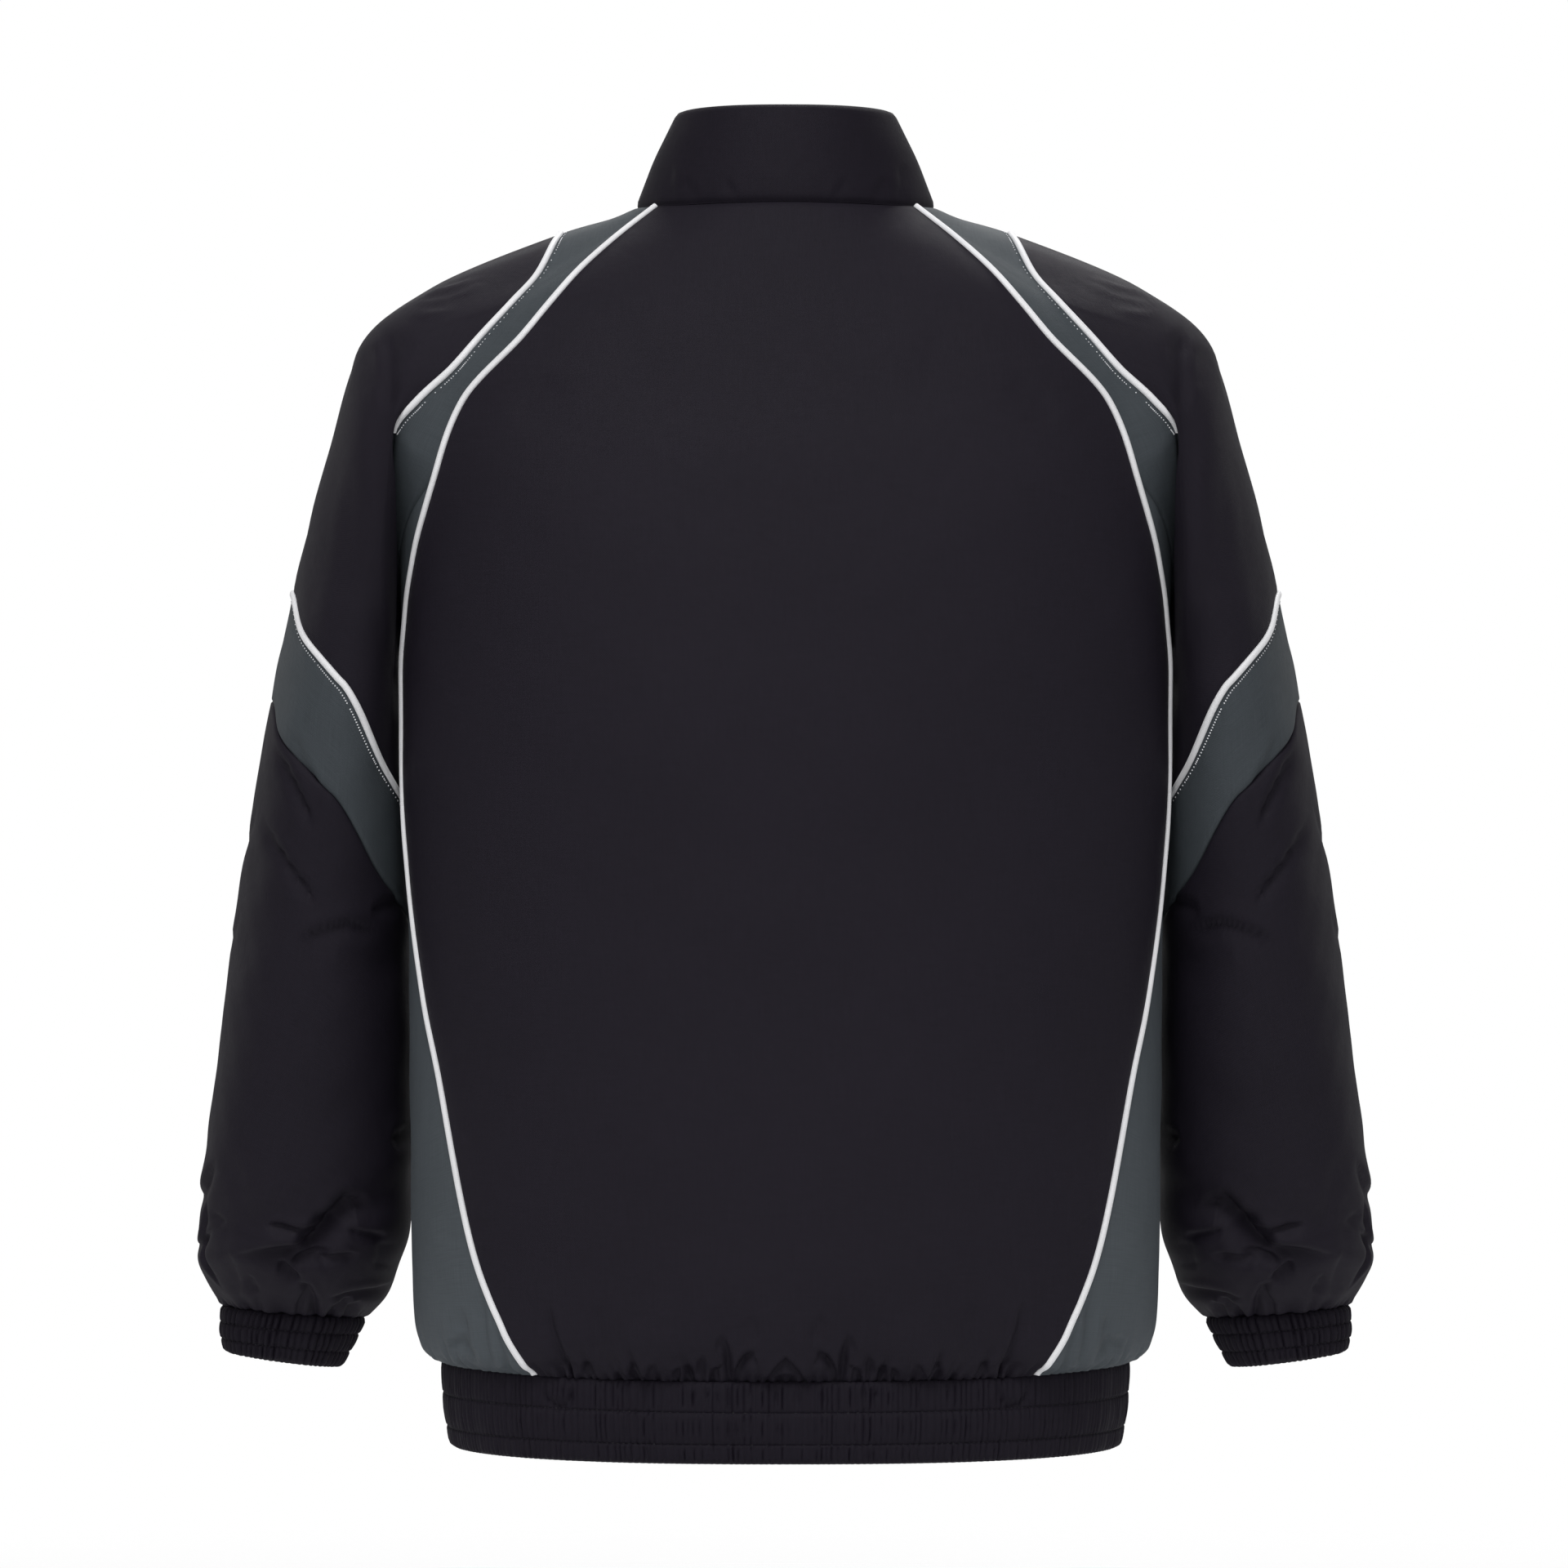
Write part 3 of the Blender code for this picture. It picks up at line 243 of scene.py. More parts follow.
# The sleeve's sections below that: its outer and inner lines, and its depth front to back.
SLEEVE = table(
    "outer_x outer_z inner_x inner_z y half_depth",
    (238.5, -72.5, 216.5, -264, -12, 82), (256.6, -130, 216.5, -278, -16, 82),
    (275.8, -201.7, 214.8, -306, -22, 81), (295.1, -294, 212.5, -350, -34, 80),
    (310.5, -386.9, 212, -415, -48, 78), (324.5, -480.3, 212.2, -500, -60, 74),
    (334.5, -555, 215, -575, -70, 67), (336.5, -585, 223, -602, -75, 60),
    (332, -605, 228.5, -616, -78, 50), (323.6, -620.3, 240.7, -627.8, -80, 36),
)
CUFF = table(
    "outer_x outer_z inner_x inner_z y half_depth",
    (323.2, -620.3, 241.1, -627.8, -80, 35.5), (324, -634, 247.5, -641.5, -81, 35),
    (321.2, -647.5, 255.8, -656.5, -81, 31),
)
# The grey sleeve band's edges, by the turn round the sleeve: 0 is its outer line and 180 its inner one.
SLEEVE_BAND = table(
    "turn top bottom",
    (0, -214, -274), (20, -217, -278), (45, -235, -296), (90, -265, -327), (135, -315, -377),
    (180, -345, -405),
)
# The lower sleeve's largest folds: level and turn of the middle, reach along and across, depth.
SLEEVE_FOLDS = table(
    "z turn along across depth",
    (-545, 60, 55, 10, -3.5), (-562, 75, 60, 9, 3), (-580, 110, 60, 9, -3.5), (-560, 240, 60, 12, -3.5),
    (-585, 290, 60, 9, 3), (-430, 150, 35, 14, -3), (-370, 60, 40, 16, -2), (-420, 215, 40, 16, -3),
)
# Folds, drawn on the left half as seen from behind: the width at both ends, the depth, and then X, Z, X, Z
# and so on along the line. The cloth stands out on the right-hand side of the way that a line runs.
TENTHS = 10000  # these numbers are tenths of a millimetre
BACK_FOLDS = (
    (20, 16, 24, 1300, -6040, 1285, -6200, 1255, -6300, 1226, -6390, 1195, -6570),
    (30, 22, 8, 1215, -6120, 1205, -6250, 1175, -6400, 1158, -6570),
    (18, 24, 13, 1010, -6430, 1018, -6300, 1016, -6150, 1010, -6030),
    (22, 16, 12, 1040, -6030, 1046, -6200, 1046, -6420),
    (14, 13, 22, 342, -6235, 328, -6300, 305, -6400, 292, -6570),
    (13, 13, 36, 284, -6570, 272, -6450, 250, -6400, 215, -6352, 180, -6328, 145, -6322),
    (10, 12, 12, 205, -6330, 175, -6370, 148, -6415),
    (11, 12, 28, 130, -6570, 96, -6485, 62, -6432, 28, -6396, 0, -6374, -60, -6330, -100, -6300),
    (10, 10, 14, 74, -6570, 52, -6482, 22, -6462, -30, -6462),
    (30, 24, 10, 205, -6120, 165, -6200, 150, -6290),
    (16, 16, 16, 500, -6570, 468, -6395, 440, -6350),
    (16, 16, 18, 568, -6570, 540, -6435, 515, -6400),
    (18, 16, 20, 778, -6570, 735, -6420, 690, -6385),
    (16, 16, 18, 864, -6570, 830, -6400, 800, -6370),
    (18, 16, 20, 1136, -6570, 1095, -6420, 1055, -6395),
    (20, 16, 22, 1685, -5990, 1674, -6100, 1664, -6230, 1645, -6340, 1570, -6540),
    (18, 16, 18, 1605, -6170, 1585, -6250, 1555, -6340, 1470, -6540),
    (20, 18, 22, 1875, -6370, 1850, -6315, 1800, -6300, 1765, -6400),
    (22, 22, 10, 1704, -5600, 1660, -5635, 1600, -5660),
    (50, 40, 8, 1440, -5950, 1400, -6100, 1390, -6300),
    (70, 70, 9, 1480, -1280, 1400, -1080, 1250, -930),
    (100, 100, 7, 950, -550, 850, -780, 700, -1150),
    (11, 11, 20, 630, -6570, 608, -6450, 580, -6425, 556, -6440),
    (11, 11, 22, 430, -6570, 404, -6460, 380, -6440, 352, -6540),
    (11, 11, 18, 940, -6570, 918, -6450, 890, -6430),
    (14, 12, 12, 380, -6350, 366, -6280, 340, -6225),
    (22, 18, 24, 1790, -6100, 1782, -6220, 1760, -6330, 1660, -6540),
)
SLEEVE_FOLD_LINES = (
    (24, 34, 34, 2212, -1210, 2222, -980, 2224, -800, 2222, -640),
    (40, 40, 15, 2330, -760, 2310, -900, 2270, -1040),
    (90, 70, 18, 2640, -2300, 2560, -1800, 2480, -1350),
    (70, 70, 12, 2500, -2350, 2450, -1900, 2400, -1400),
    (18, 16, 36, 2860, -3000, 2720, -3280, 2620, -3480),
    (18, 18, 18, 2750, -2930, 2680, -3100, 2590, -3250),
    (18, 16, 36, 2960, -3415, 2790, -3660, 2590, -3920),
    (22, 22, 30, 2769, -4126, 2690, -4075, 2608, -4048, 2447, -4002, 2240, -4048),
    (40, 40, 14, 2720, -4180, 2600, -4120, 2500, -4110),
    (18, 24, 22, 2340, -3935, 2240, -3890, 2140, -3880),
    (24, 36, 30, 2251, -5229, 2173, -5210, 2114, -5170),
    (15, 18, 38, 2960, -5708, 2860, -5722, 2760, -5738, 2656, -5752, 2587, -5742),
    (30, 36, 85, 3130, -5885, 2940, -5868, 2840, -5858, 2740, -5850, 2655, -5800, 2590, -5728, 2525, -5640,
     2465, -5575, 2400, -5580, 2330, -5625, 2265, -5632),
    (50, 50, 65, 2780, -5845, 2700, -5790, 2620, -5700, 2560, -5620),
    (16, 16, 26, 2490, -5738, 2400, -5752, 2350, -5762, 2251, -5786),
    (16, 16, 40, 2820, -5962, 2784, -5930, 2744, -5909, 2646, -5885, 2547, -5852),
    (15, 16, 32, 2680, -5922, 2600, -5912, 2527, -5890, 2410, -5872),
    (18, 20, 46, 2890, -5935, 2830, -5962, 2790, -5990, 2740, -6030),
    (14, 14, 30, 2774, -6028, 2705, -6065, 2672, -6140, 2668, -6330),
    (14, 14, 26, 2800, -6330, 2764, -6170, 2700, -6070),
    (16, 19, 30, 2600, -6138, 2449, -6118, 2320, -6107, 2235, -6065),
    (16, 16, 34, 2640, -6300, 2560, -6200, 2445, -6145),
    (14, 14, 28, 2560, -6330, 2480, -6215, 2405, -6165),
    (26, 22, 14, 3160, -5850, 3139, -5949, 3114, -6047, 3110, -6150),
    (18, 18, 20, 3050, -5988, 3030, -6057, 2985, -6115),
    (80, 70, 16, 3158, -5259, 3109, -5486, 3070, -5653, 3060, -5870),
    (22, 22, 16, 3280, -5640, 3230, -5690, 3180, -5720),
    (60, 50, 8, 3210, -5500, 3190, -5750, 3200, -5950),
    (30, 30, 14, 2330, -5990, 2300, -5900, 2290, -5780),
    (12, 11, -10, 2048, -481, 1960, -455, 1870, -440, 1780, -405, 1703, -385),
    (11, 10, -9, 1857, -500, 1780, -470, 1723, -414),
    (13, 11, -8, 2080, -520, 1990, -527, 1890, -505),
    (16, 14, -8, 2120, -560, 2010, -590, 1860, -585),
)
# The same on the sleeve's outer side, with Y counted from SIDE_START in X's place.
OUTER_FOLDS = (
    (28, 26, 26, 2050, -3300, 1750, -3520, 1400, -3600, 1050, -3500),
    (24, 24, 24, 1900, -3950, 1600, -4100, 1250, -4050),
    (30, 26, 56, 1750, -5350, 1500, -5530, 1200, -5600, 880, -5480),
    (20, 18, 40, 1650, -5750, 1400, -5860, 1120, -5840),
    (20, 18, 32, 1580, -5560, 1480, -5850, 1510, -6120),
    (18, 16, 32, 1200, -6000, 1050, -5920, 880, -5960),
    (65, 65, 20, 2150, -2000, 1900, -1700, 1750, -1300),
    (24, 20, 22, 1350, -4700, 1150, -4820, 920, -4780),
    (50, 50, 18, 2300, -1050, 2050, -880, 1800, -920),
)
BAND_FOLDS = (
    (11, 11, 22, 1345, -6515, 1325, -6585, 1290, -6625, 1235, -6640, 1195, -6615, 1178, -6560, 1170, -6505),
    (9, 9, 14, 480, -6520, 490, -6560, 520, -6620),
    (9, 9, 12, 405, -6510, 425, -6570, 440, -6615),
    (9, 9, 14, 190, -6530, 200, -6590, 205, -6640),
    (9, 9, 12, 45, -6530, 52, -6600, 60, -6640),
)
COLLAR_FOLDS = (
    (16, 18, 10, 340, 150, 300, 90, 250, 40),
    (22, 22, 12, 560, 180, 530, 100, 480, 30),
    (30, 24, 12, 640, 260, 655, 140, 620, 20),
)


def norm(vectors, keepdims=False):
    return np.linalg.norm(vectors, axis=-1, keepdims=keepdims)


def unit(vectors):
    return vectors / norm(vectors, True)


def between_ends(t, start, leaving, end, arriving):
    """A cubic from start to end with the given slopes there, at t from 0 to 1."""
    first = start * (1 + 2 * t) * (1 - t) ** 2 + leaving * t * (1 - t) ** 2
    return first + (end * t**2 * (3 - 2 * t) + arriving * t**2 * (t - 1))


def smooth(at, xs, ys):
    """A curve through the points (xs, ys) that never overshoots them, read at each value of at."""
    if xs[0] > xs[-1]:
        xs, ys = xs[::-1], ys[::-1]
    gaps = np.diff(xs)
    slopes = np.diff(ys) / gaps
    same_way = slopes[:-1] * slopes[1:] > 0
    before, after = np.where(same_way, [slopes[:-1], slopes[1:]], 1.0)
    first, second = 2 * gaps[1:] + gaps[:-1], gaps[1:] + 2 * gaps[:-1]
    mean = (first + second) / (first / before + second / after)
    tangents = np.concatenate([slopes[:1], np.where(same_way, mean, 0.0), slopes[-1:]])
    at = np.clip(at, xs[0], xs[-1])
    k = np.clip(np.searchsorted(xs, at) - 1, 0, len(xs) - 2)
    t = (at - xs[k]) / gaps[k]
    return between_ends(t, ys[k], tangents[k] * gaps[k], ys[k + 1], tangents[k + 1] * gaps[k])


def curve(rows, column, at):
    """A column of a table, read on a smooth curve over the table's first column."""
    return smooth(at, next(iter(rows.values())), rows[column])


def ease(t):
    """0 to 1 with level ends."""
    t = np.clip(t, 0.0, 1.0)
    return t * t * (3 - 2 * t)


def distances(grid, axis):
    """Distance of each point from the grid's first row or column, along the cloth."""
    total = np.cumsum(norm(np.diff(grid, axis=axis)), axis=axis)
    return np.concatenate([0 * np.take(total, [0], axis), total], axis=axis)


def evenly(points, count):
    """Count + 1 rows at even steps along a line, by all the columns of its points."""
    lengths = distances(points, 0)
    at = np.linspace(0, lengths[-1], count + 1)
    return np.stack([np.interp(at, lengths, column) for column in points.T], axis=-1)


def looped(grid, axis=0):
    """The grid with its first row or column again at the end."""
    return np.concatenate([grid, np.take(grid, [0], axis)], axis=axis)


def steps(count, reach):
    """Shares from 0 to 1 in count steps. The first and last two are close, for a roll into a seam."""
    inner = np.linspace(reach, 1 - reach, count - 3)
    return np.concatenate([[0, reach * 0.35], inner, [1 - reach * 0.35, 1]])


# Cloth is one array: each point's X, Y and Z, its normal's, and how far its folds move it out


def with_relief(points, normals, relief):
    return np.concatenate([points + normals * relief[..., None], normals, relief[..., None]], axis=-1)


def parts(cloth):
    return cloth[..., :3], cloth[..., 3:6], cloth[..., 6]


# Torso form


def oval(angle, half, back, front, power):
    """X and Y on a level section of the torso or the hem band, at an angle as torso counts it."""
    x = half * np.abs(np.cos(angle)) ** (2 / power)
    reach = np.where(angle > 0, back - MIDDLE_Y, front - MIDDLE_Y)
    return x, MIDDLE_Y + reach * np.abs(np.sin(angle)) ** (2 / power)


def torso(angle, level):
    """A torso point. The angle is 0 at the side, 90 degrees at the back's middle, -90 at the front's."""
    angle, level = np.broadcast_arrays(angle, level)
    *sizes, dent = (curve(TORSO, name, level) for name in list(TORSO)[1:])
    x, y = oval(angle, *sizes)
    pressed = np.clip(1 - ((y - DENT_Y) / DENT_REACH) ** 2, 0, 1) ** 2
    rise = SIDE_RISE * np.cos(angle) ** 2 * ease((RISE_LEVEL - level) / (RISE_LEVEL - HEM_LEVEL))
    return np.stack([x - dent * pressed, y, level + rise], axis=-1)


def torso_normal(angle, level):
    turn, climb = 0.02, 0.002
    across = torso(angle + turn, level) - torso(angle - turn, level)
    up = torso(angle, level + climb) - torso(angle, level - climb)
    return unit(np.cross(across, up))


def torso_angle(x, level):
    """The angle, on the back half, at which the torso is x wide."""
    share = np.clip(x / curve(TORSO, "half_width", level), 0, 1)
    return np.arccos(share ** (curve(TORSO, "power", level) / 2))


def back_seam_angle(level):
    return torso_angle(curve(BACK_SEAM, "x", level), level)


def front_seam_x(level):
    return np.where(level > BRANCH_LEVEL, curve(FRONT_SEAM, "x", level), curve(BACK_SEAM, "x", level))


def front_seam_angle(level):
    return -torso_angle(front_seam_x(level), level)


def armhole_level(share):
    return curve(ARMHOLE, "z", 0.5 - np.abs(share - 0.5))


def neck_front(turn):
    """Angle and level of the neck seam's front half: turn is 0 at the side, 90 degrees at the centre."""
    level = NECK_LEVEL - NECK_DROP * np.sin(turn) ** NECK_DROP_POWER
    return -torso_angle(NECK_HALF * np.cos(turn), level), level


def puckers(points, level):
    """How far the gathered cloth just above the hem band stands out, uneven along the hem."""
    along = points[..., 0] + PUCKER_SLANT * points[..., 1]
    uneven = PUCKER_UNEVEN * np.sin(2 * np.pi * along / PUCKER_DRIFT)
    wave = np.cos(2 * np.pi * along / PUCKER_WIDTH + uneven)
    fade = ease((HEM_LEVEL + PUCKER_REACH - level) / PUCKER_REACH) * ease((level - HEM_LEVEL) / PUCKER_START)
    return PUCKER_DEPTH * wave * fade


def torso_panel(angle, level):
    """A panel's cloth with its folds, from the angle and level of each point."""
    angle, level = np.broadcast_arrays(angle, level)
    normals = torso_normal(angle, level)
    normals[..., 2] *= ease((level - HEM_LEVEL) / LEVELLING)
    points = torso(angle, level)
    return with_relief(points, unit(normals), puckers(points, level) + body_relief(points, angle, level))


def lower_levels():
    """Levels of the rows from the hem seam to the branch, closest at the hem's gathers."""
    share = steps(BODY_ROWS, 0.008)
    share = 0.25 * share + 0.75 * share**2
    return HEM_LEVEL + share * (BRANCH_LEVEL - HEM_LEVEL)


def seam_levels(seam):
    """Levels of the rows from the hem seam to the top of the back or the front seam."""
    top = seam["z"][0]
    upper = np.linspace(BRANCH_LEVEL, top - NECK_ROW, RAGLAN_STEPS)
    return np.concatenate([lower_levels(), upper[1:], [top]])


def back_panel():
    """The whole back, from the left seam to the right one."""
    level = seam_levels(BACK_SEAM)[:, None]
    share = (2 * steps(BACK_COLUMNS, 0.006) - 1)[None, :]
    cloth = torso_panel(torso_angle(np.abs(share) * curve(BACK_SEAM, "x", level), level), level)
    cloth[..., [0, 3]] *= np.where(share < 0, -1.0, 1.0)[..., None]
    return cloth[:, ::-1]


def front_panel():
    """The left front, from the zip to the seam."""
    seam_level = seam_levels(FRONT_SEAM)[:, None]
    x = ZIP_HALF + steps(FRONT_COLUMNS, 0.012)[None, :] * (front_seam_x(seam_level) - ZIP_HALF)
    top = NECK_LEVEL - NECK_DROP * (1 - (x[-1] / NECK_HALF) ** 2) ** (NECK_DROP_POWER / 2)
    level = HEM_LEVEL + (seam_level - HEM_LEVEL) * (top - HEM_LEVEL) / (top[-1] - HEM_LEVEL)
    return torso_panel(-torso_angle(x, level), level)


def side_panel():
    """The left side, from the front seam to the back one."""
    share = np.linspace(1, 0, 4 * ARMHOLE_STEPS + 1)[None, :]
    rise = (lower_levels()[:, None] - HEM_LEVEL) * (armhole_level(share) - HEM_LEVEL)
    level = HEM_LEVEL + rise / (BRANCH_LEVEL - HEM_LEVEL)
    back, front = back_seam_angle(level), front_seam_angle(level)
    return torso_panel(back + share * (front - back), level)


# Sleeve form


def closed_loop(back, front):
    """A loop of points from two halves, each from ridge to underarm: down the front, then up the back."""
    return np.concatenate([front[:-1], back[:0:-1]])


def body_loop():
    """The loop on the torso that the shoulder band is sewn to, with the torso's normals."""
    share = np.linspace(0, 1, NECK_STEPS + 1)
    top = BACK_SEAM["z"][0]
    neck_back = share * back_seam_angle(np.array(top)), NECK_LEVEL + share * (top - NECK_LEVEL)
    neck_fore = neck_front(share * math.acos(FRONT_SEAM["x"][0] / NECK_HALF))
    share = np.linspace(0, 0.5, ARMHOLE_STEPS + 1)
    level = armhole_level(share)
    inward = share * (front_seam_angle(level) - back_seam_angle(level))
    halves = []
    for neck, seam, seam_angle, way in (
        (neck_back, BACK_SEAM, back_seam_angle, 1),
        (neck_fore, FRONT_SEAM, front_seam_angle, -1),
    ):
        raglan = seam_levels(seam)[BODY_ROWS:][::-1]
        angles = np.concatenate([neck[0][:-1], seam_angle(raglan)[:-1], seam_angle(level) + way * inward])
        levels = np.concatenate([neck[1][:-1], raglan[:-1], level])
        halves.append((torso(angles, levels), torso_normal(angles, levels)))
    return [closed_loop(back, front) for back, front in zip(*halves)]


def head_ring(rows):
    """A ring of the sleeve head from its back half's rows. Its front half is a little shallower."""
    share = np.linspace(0, 1, HALF_LOOP + 1)
    back = np.stack([curve(rows, column, share) for column in "xyz"], axis=-1)
    front = back.copy()
    front[:, 1] = RIDGE_Y - (back[:, 1] - RIDGE_Y) * np.where(back[:, 1] > RIDGE_Y, FRONT_SHARE, 1.0)
    return closed_loop(back, front)


def loop_turns():
    """Degrees round the sleeve of each column, from the outer line down the front."""
    turn = 180 * np.linspace(0, 1, HALF_LOOP + 1) ** TURN_POWER
    return closed_loop(360 - turn, turn)


def section_rings(rows, turns):
    """The sleeve's sections. Each is an oval between its outer and inner lines."""
    angle = np.radians(turns)[:, None]
    ways = np.cos(angle), np.sin(angle)
    across, through = (np.sign(way) * np.abs(way) ** (2 / SLEEVE_POWER) for way in ways)
    rings = []
    for outer_x, outer_z, inner_x, inner_z, y, half_depth in zip(*rows.values()):
        outer, inner = np.array([outer_x, y, outer_z]), np.array([inner_x, y, inner_z])
        rings.append((outer + inner) / 2 + across * (outer - inner) / 2 - through * [0, half_depth, 0])
    return rings


def along_sleeve(rings, at):
    """Points at the ring number that each column of at gives, on smooth lines through the rings."""
    numbers = np.arange(len(rings), dtype=float)
    lines = [[smooth(at[:, k], numbers, rings[:, k, c]) for c in range(3)] for k in range(rings.shape[1])]
    return np.array(lines).transpose(2, 0, 1)


def number_at_level(rings, levels):
    """The ring number at which each column's line comes down to its level."""
    fine = np.linspace(2, len(rings) - 1, FINE_STEPS)
    lines = along_sleeve(rings, np.repeat(fine[:, None], rings.shape[1], axis=1))[..., 2]
    return np.array([np.interp(-z, -lines[:, k], fine) for k, z in enumerate(levels)])


def grid_normals(grid):
    """Outward normals of a grid whose columns close into a loop: the mean over the faces that meet there."""
    across = np.roll(grid, -1, axis=1) - grid
    up = np.diff(grid, axis=0)
    faces = unit(np.cross(across[:-1] + across[1:], up + np.roll(up, -1, axis=1)))
    both = faces + np.roll(faces, 1, axis=1)
    return unit(np.concatenate([both[:1], both[:-1] + both[1:], both[-1:]]))


def between(grid):
    """The grid with a smooth column added between every two, round the loop."""
    near = grid + np.roll(grid, -1, axis=1)
    far = np.roll(grid, 1, axis=1) + np.roll(grid, -2, axis=1)
    return np.stack([grid, (9 * near - far) / 16], axis=2).reshape(grid.shape[0], -1, grid.shape[2])


def below_head(rings, turns):
    """The sleeve's grid from the head seam down: upper sleeve, band and lower sleeve."""
    turn = 180 - np.abs(turns - 180)
    top, bottom = (number_at_level(rings, curve(SLEEVE_BAND, edge, turn)) for edge in ("top", "bottom"))
    head, last = np.ones(len(turns)), np.full(len(turns), len(rings) - 1.0)
    low = steps(LOWER_ROWS, 0.007)
    at = [head]
    for start, end, shares in (
        (head, top, steps(UPPER_ROWS, 0.012)),
        (top, bottom, steps(SLEEVE_BAND_ROWS, 0.035)),
        (bottom, last, low + 0.10 * np.sin(np.pi * low)),
    ):
        at += [start + (end - start) * share for share in shares[1:]]
    return along_sleeve(rings, np.array(at))


def shoulder_band(rings, body_normals):
    """The band's grid, but for its last row. It leaves along the torso, or straight out under the arm."""
    body, head = rings[:2]
    chord = head - body
    leaving = (along_sleeve(rings, np.full((1, len(body)), 1.01))[0] - head) / 0.01
    same_way = np.sum(unit(leaving) * unit(chord), axis=1, keepdims=True)
    arriving = head - body + ease(same_way * 2 - 0.6) * (leaving - head + body)
    flat = chord - body_normals * np.sum(chord * body_normals, axis=1, keepdims=True)
    flat *= norm(chord, True) / norm(flat, True)
    underarm = HALF_LOOP - np.abs(np.arange(2 * HALF_LOOP) - HALF_LOOP)
    tucked = ease((underarm - NECK_STEPS - RAGLAN_STEPS) / ARMHOLE_STEPS)[:, None]
    starting = flat + tucked * (chord - flat)
    return np.array([between_ends(t, body, starting, head, arriving) for t in steps(BAND_ROWS, 0.035)[:-1]])


def sleeve_cloths():
    """The whole left sleeve from the torso to the cuff seam, and the same with twice the columns."""
    body, body_normals = body_loop()
    turns = loop_turns()
    rings = np.array([body, head_ring(HEAD_SEAM), head_ring(HEAD_FOLD), *section_rings(SLEEVE, turns)])
    grid = np.concatenate([shoulder_band(rings, body_normals), below_head(rings, turns)])
    normals = grid_normals(grid)
    normals[0] = unit(normals[0] + body_normals)
    axis = unit(np.mean(rings[-1] - rings[-2], axis=0))
    down = distances(grid, 0)
    level = 1 - ease((down[-1:] - down) / LEVELLING)
    normals = unit(normals - axis * (level * (normals @ axis))[..., None])
    fine_turns = np.stack([turns, (turns + np.append(turns[1:], 360)) / 2], axis=1).ravel()
    found = []
    for points, out, turn in ((grid, normals, turns), (between(grid), unit(between(normals)), fine_turns)):
        found.append(with_relief(points, out, sleeve_relief(points, out, turn)))
    return found


# Folds and gathers


def creases(points, folds):
    """How far folds move the cloth: each is a trough with a steep wall up to a low ridge on one side."""
    x, z = np.abs(points[..., 0]), points[..., 2]
    total = np.zeros(x.shape)
    for start_width, end_width, depth, *numbers in folds:
        line = np.reshape(numbers, (-1, 2)) / TENTHS
        lengths = norm(np.diff(line, axis=0))
        before = np.concatenate([[0], np.cumsum(lengths)])
        nearest = np.full(x.shape, np.inf)
        off = np.zeros(x.shape)
        along = np.zeros(x.shape)
        for (x0, z0), (x1, z1), length, passed in zip(line[:-1], line[1:], lengths, before):
            run, rise = (x1 - x0) / length, (z1 - z0) / length
            step = np.clip((x - x0) * run + (z - z0) * rise, 0, length)
            away = np.hypot(x - x0 - step * run, z - z0 - step * rise)
            closer = away < nearest
            nearest = np.where(closer, away, nearest)
            off = np.where(closer, away * np.sign((z - z0) * run - (x - x0) * rise), off)
            along = np.where(closer, passed + step, along)
        whole = before[-1]
        end = min(max(FOLD_END, FOLD_TAPER * whole), whole / 2.2)
        fade = ease(np.minimum(along, whole - along) / end)
        width = (start_width + (end_width - start_width) * along / whole) / TENTHS
        u = off / (width * (FOLD_TIP + (1 - FOLD_TIP) * fade))
        trough = np.exp(-((u / np.where(u > 0, TROUGH[1], TROUGH[0])) ** 2))
        ridge = RIDGE * np.exp(-(((u + RIDGE_AT) / RIDGE_REACH) ** 2))
        total += depth / TENTHS * fade * (ridge - trough)
    return total


def sleeve_folds(points, turns):
    """How far the lower sleeve stands out, by its largest folds."""
    depth = np.zeros(points.shape[:2])
    for z, turn, along, across, height in zip(*SLEEVE_FOLDS.values()):
        round_off = (turns[None, :] - turn + 180) % 360 - 180
        slant = points[..., 2] - z + 0.0002 * round_off
        depth += height * np.exp(-((round_off / along) ** 2) - (slant / across) ** 2)
    return depth


def gathers(along, up, length, count, seed, depth, width, height):
    """Small uneven pleats that rise from a seam. along goes round it and up is the distance from it."""
    rng = np.random.default_rng(seed)
    total = np.zeros(np.broadcast(along, up).shape)
    for k in range(count):
        at = (k + rng.uniform(-0.35, 0.35)) * length / count
        lean = rng.uniform(-0.35, 0.35)
        deep = depth * rng.uniform(0.45, 1.35)
        wide = width * rng.uniform(0.75, 1.4)
        tall = height * rng.uniform(0.35, 1.0) ** 1.5 * (2.2 if rng.random() < 0.16 else 1.0)
        off = (along - at - lean * up + length / 2) % length - length / 2
        u = off / (wide * (1 + up / tall * 0.6))
        fade = np.exp(-((up / tall) ** 2))
        total -= deep * fade * (np.exp(-(u**2)) - 0.3 * np.exp(-(((np.abs(u) - 2.2) / 1.3) ** 2)))
    return total


def undulation(points, layers):
    """Smooth unevenness, alike on both halves. Each layer is about its depth high."""
    x = np.sqrt(points[..., 0] ** 2 + 0.03**2)
    total = np.zeros(x.shape)
    for depth, seed, scale, tall in layers:
        rng = np.random.default_rng(seed)
        for _ in range(8):
            way = rng.normal(size=3)
            way *= 2 * np.pi / (scale * rng.uniform(0.6, 1.7) * norm(way))
            phase = rng.uniform(0, 2 * np.pi)
            phase = phase + x * way[0] + points[..., 1] * way[1] + points[..., 2] * way[2] / tall
            total += depth / 4 * np.sin(phase)
    return total


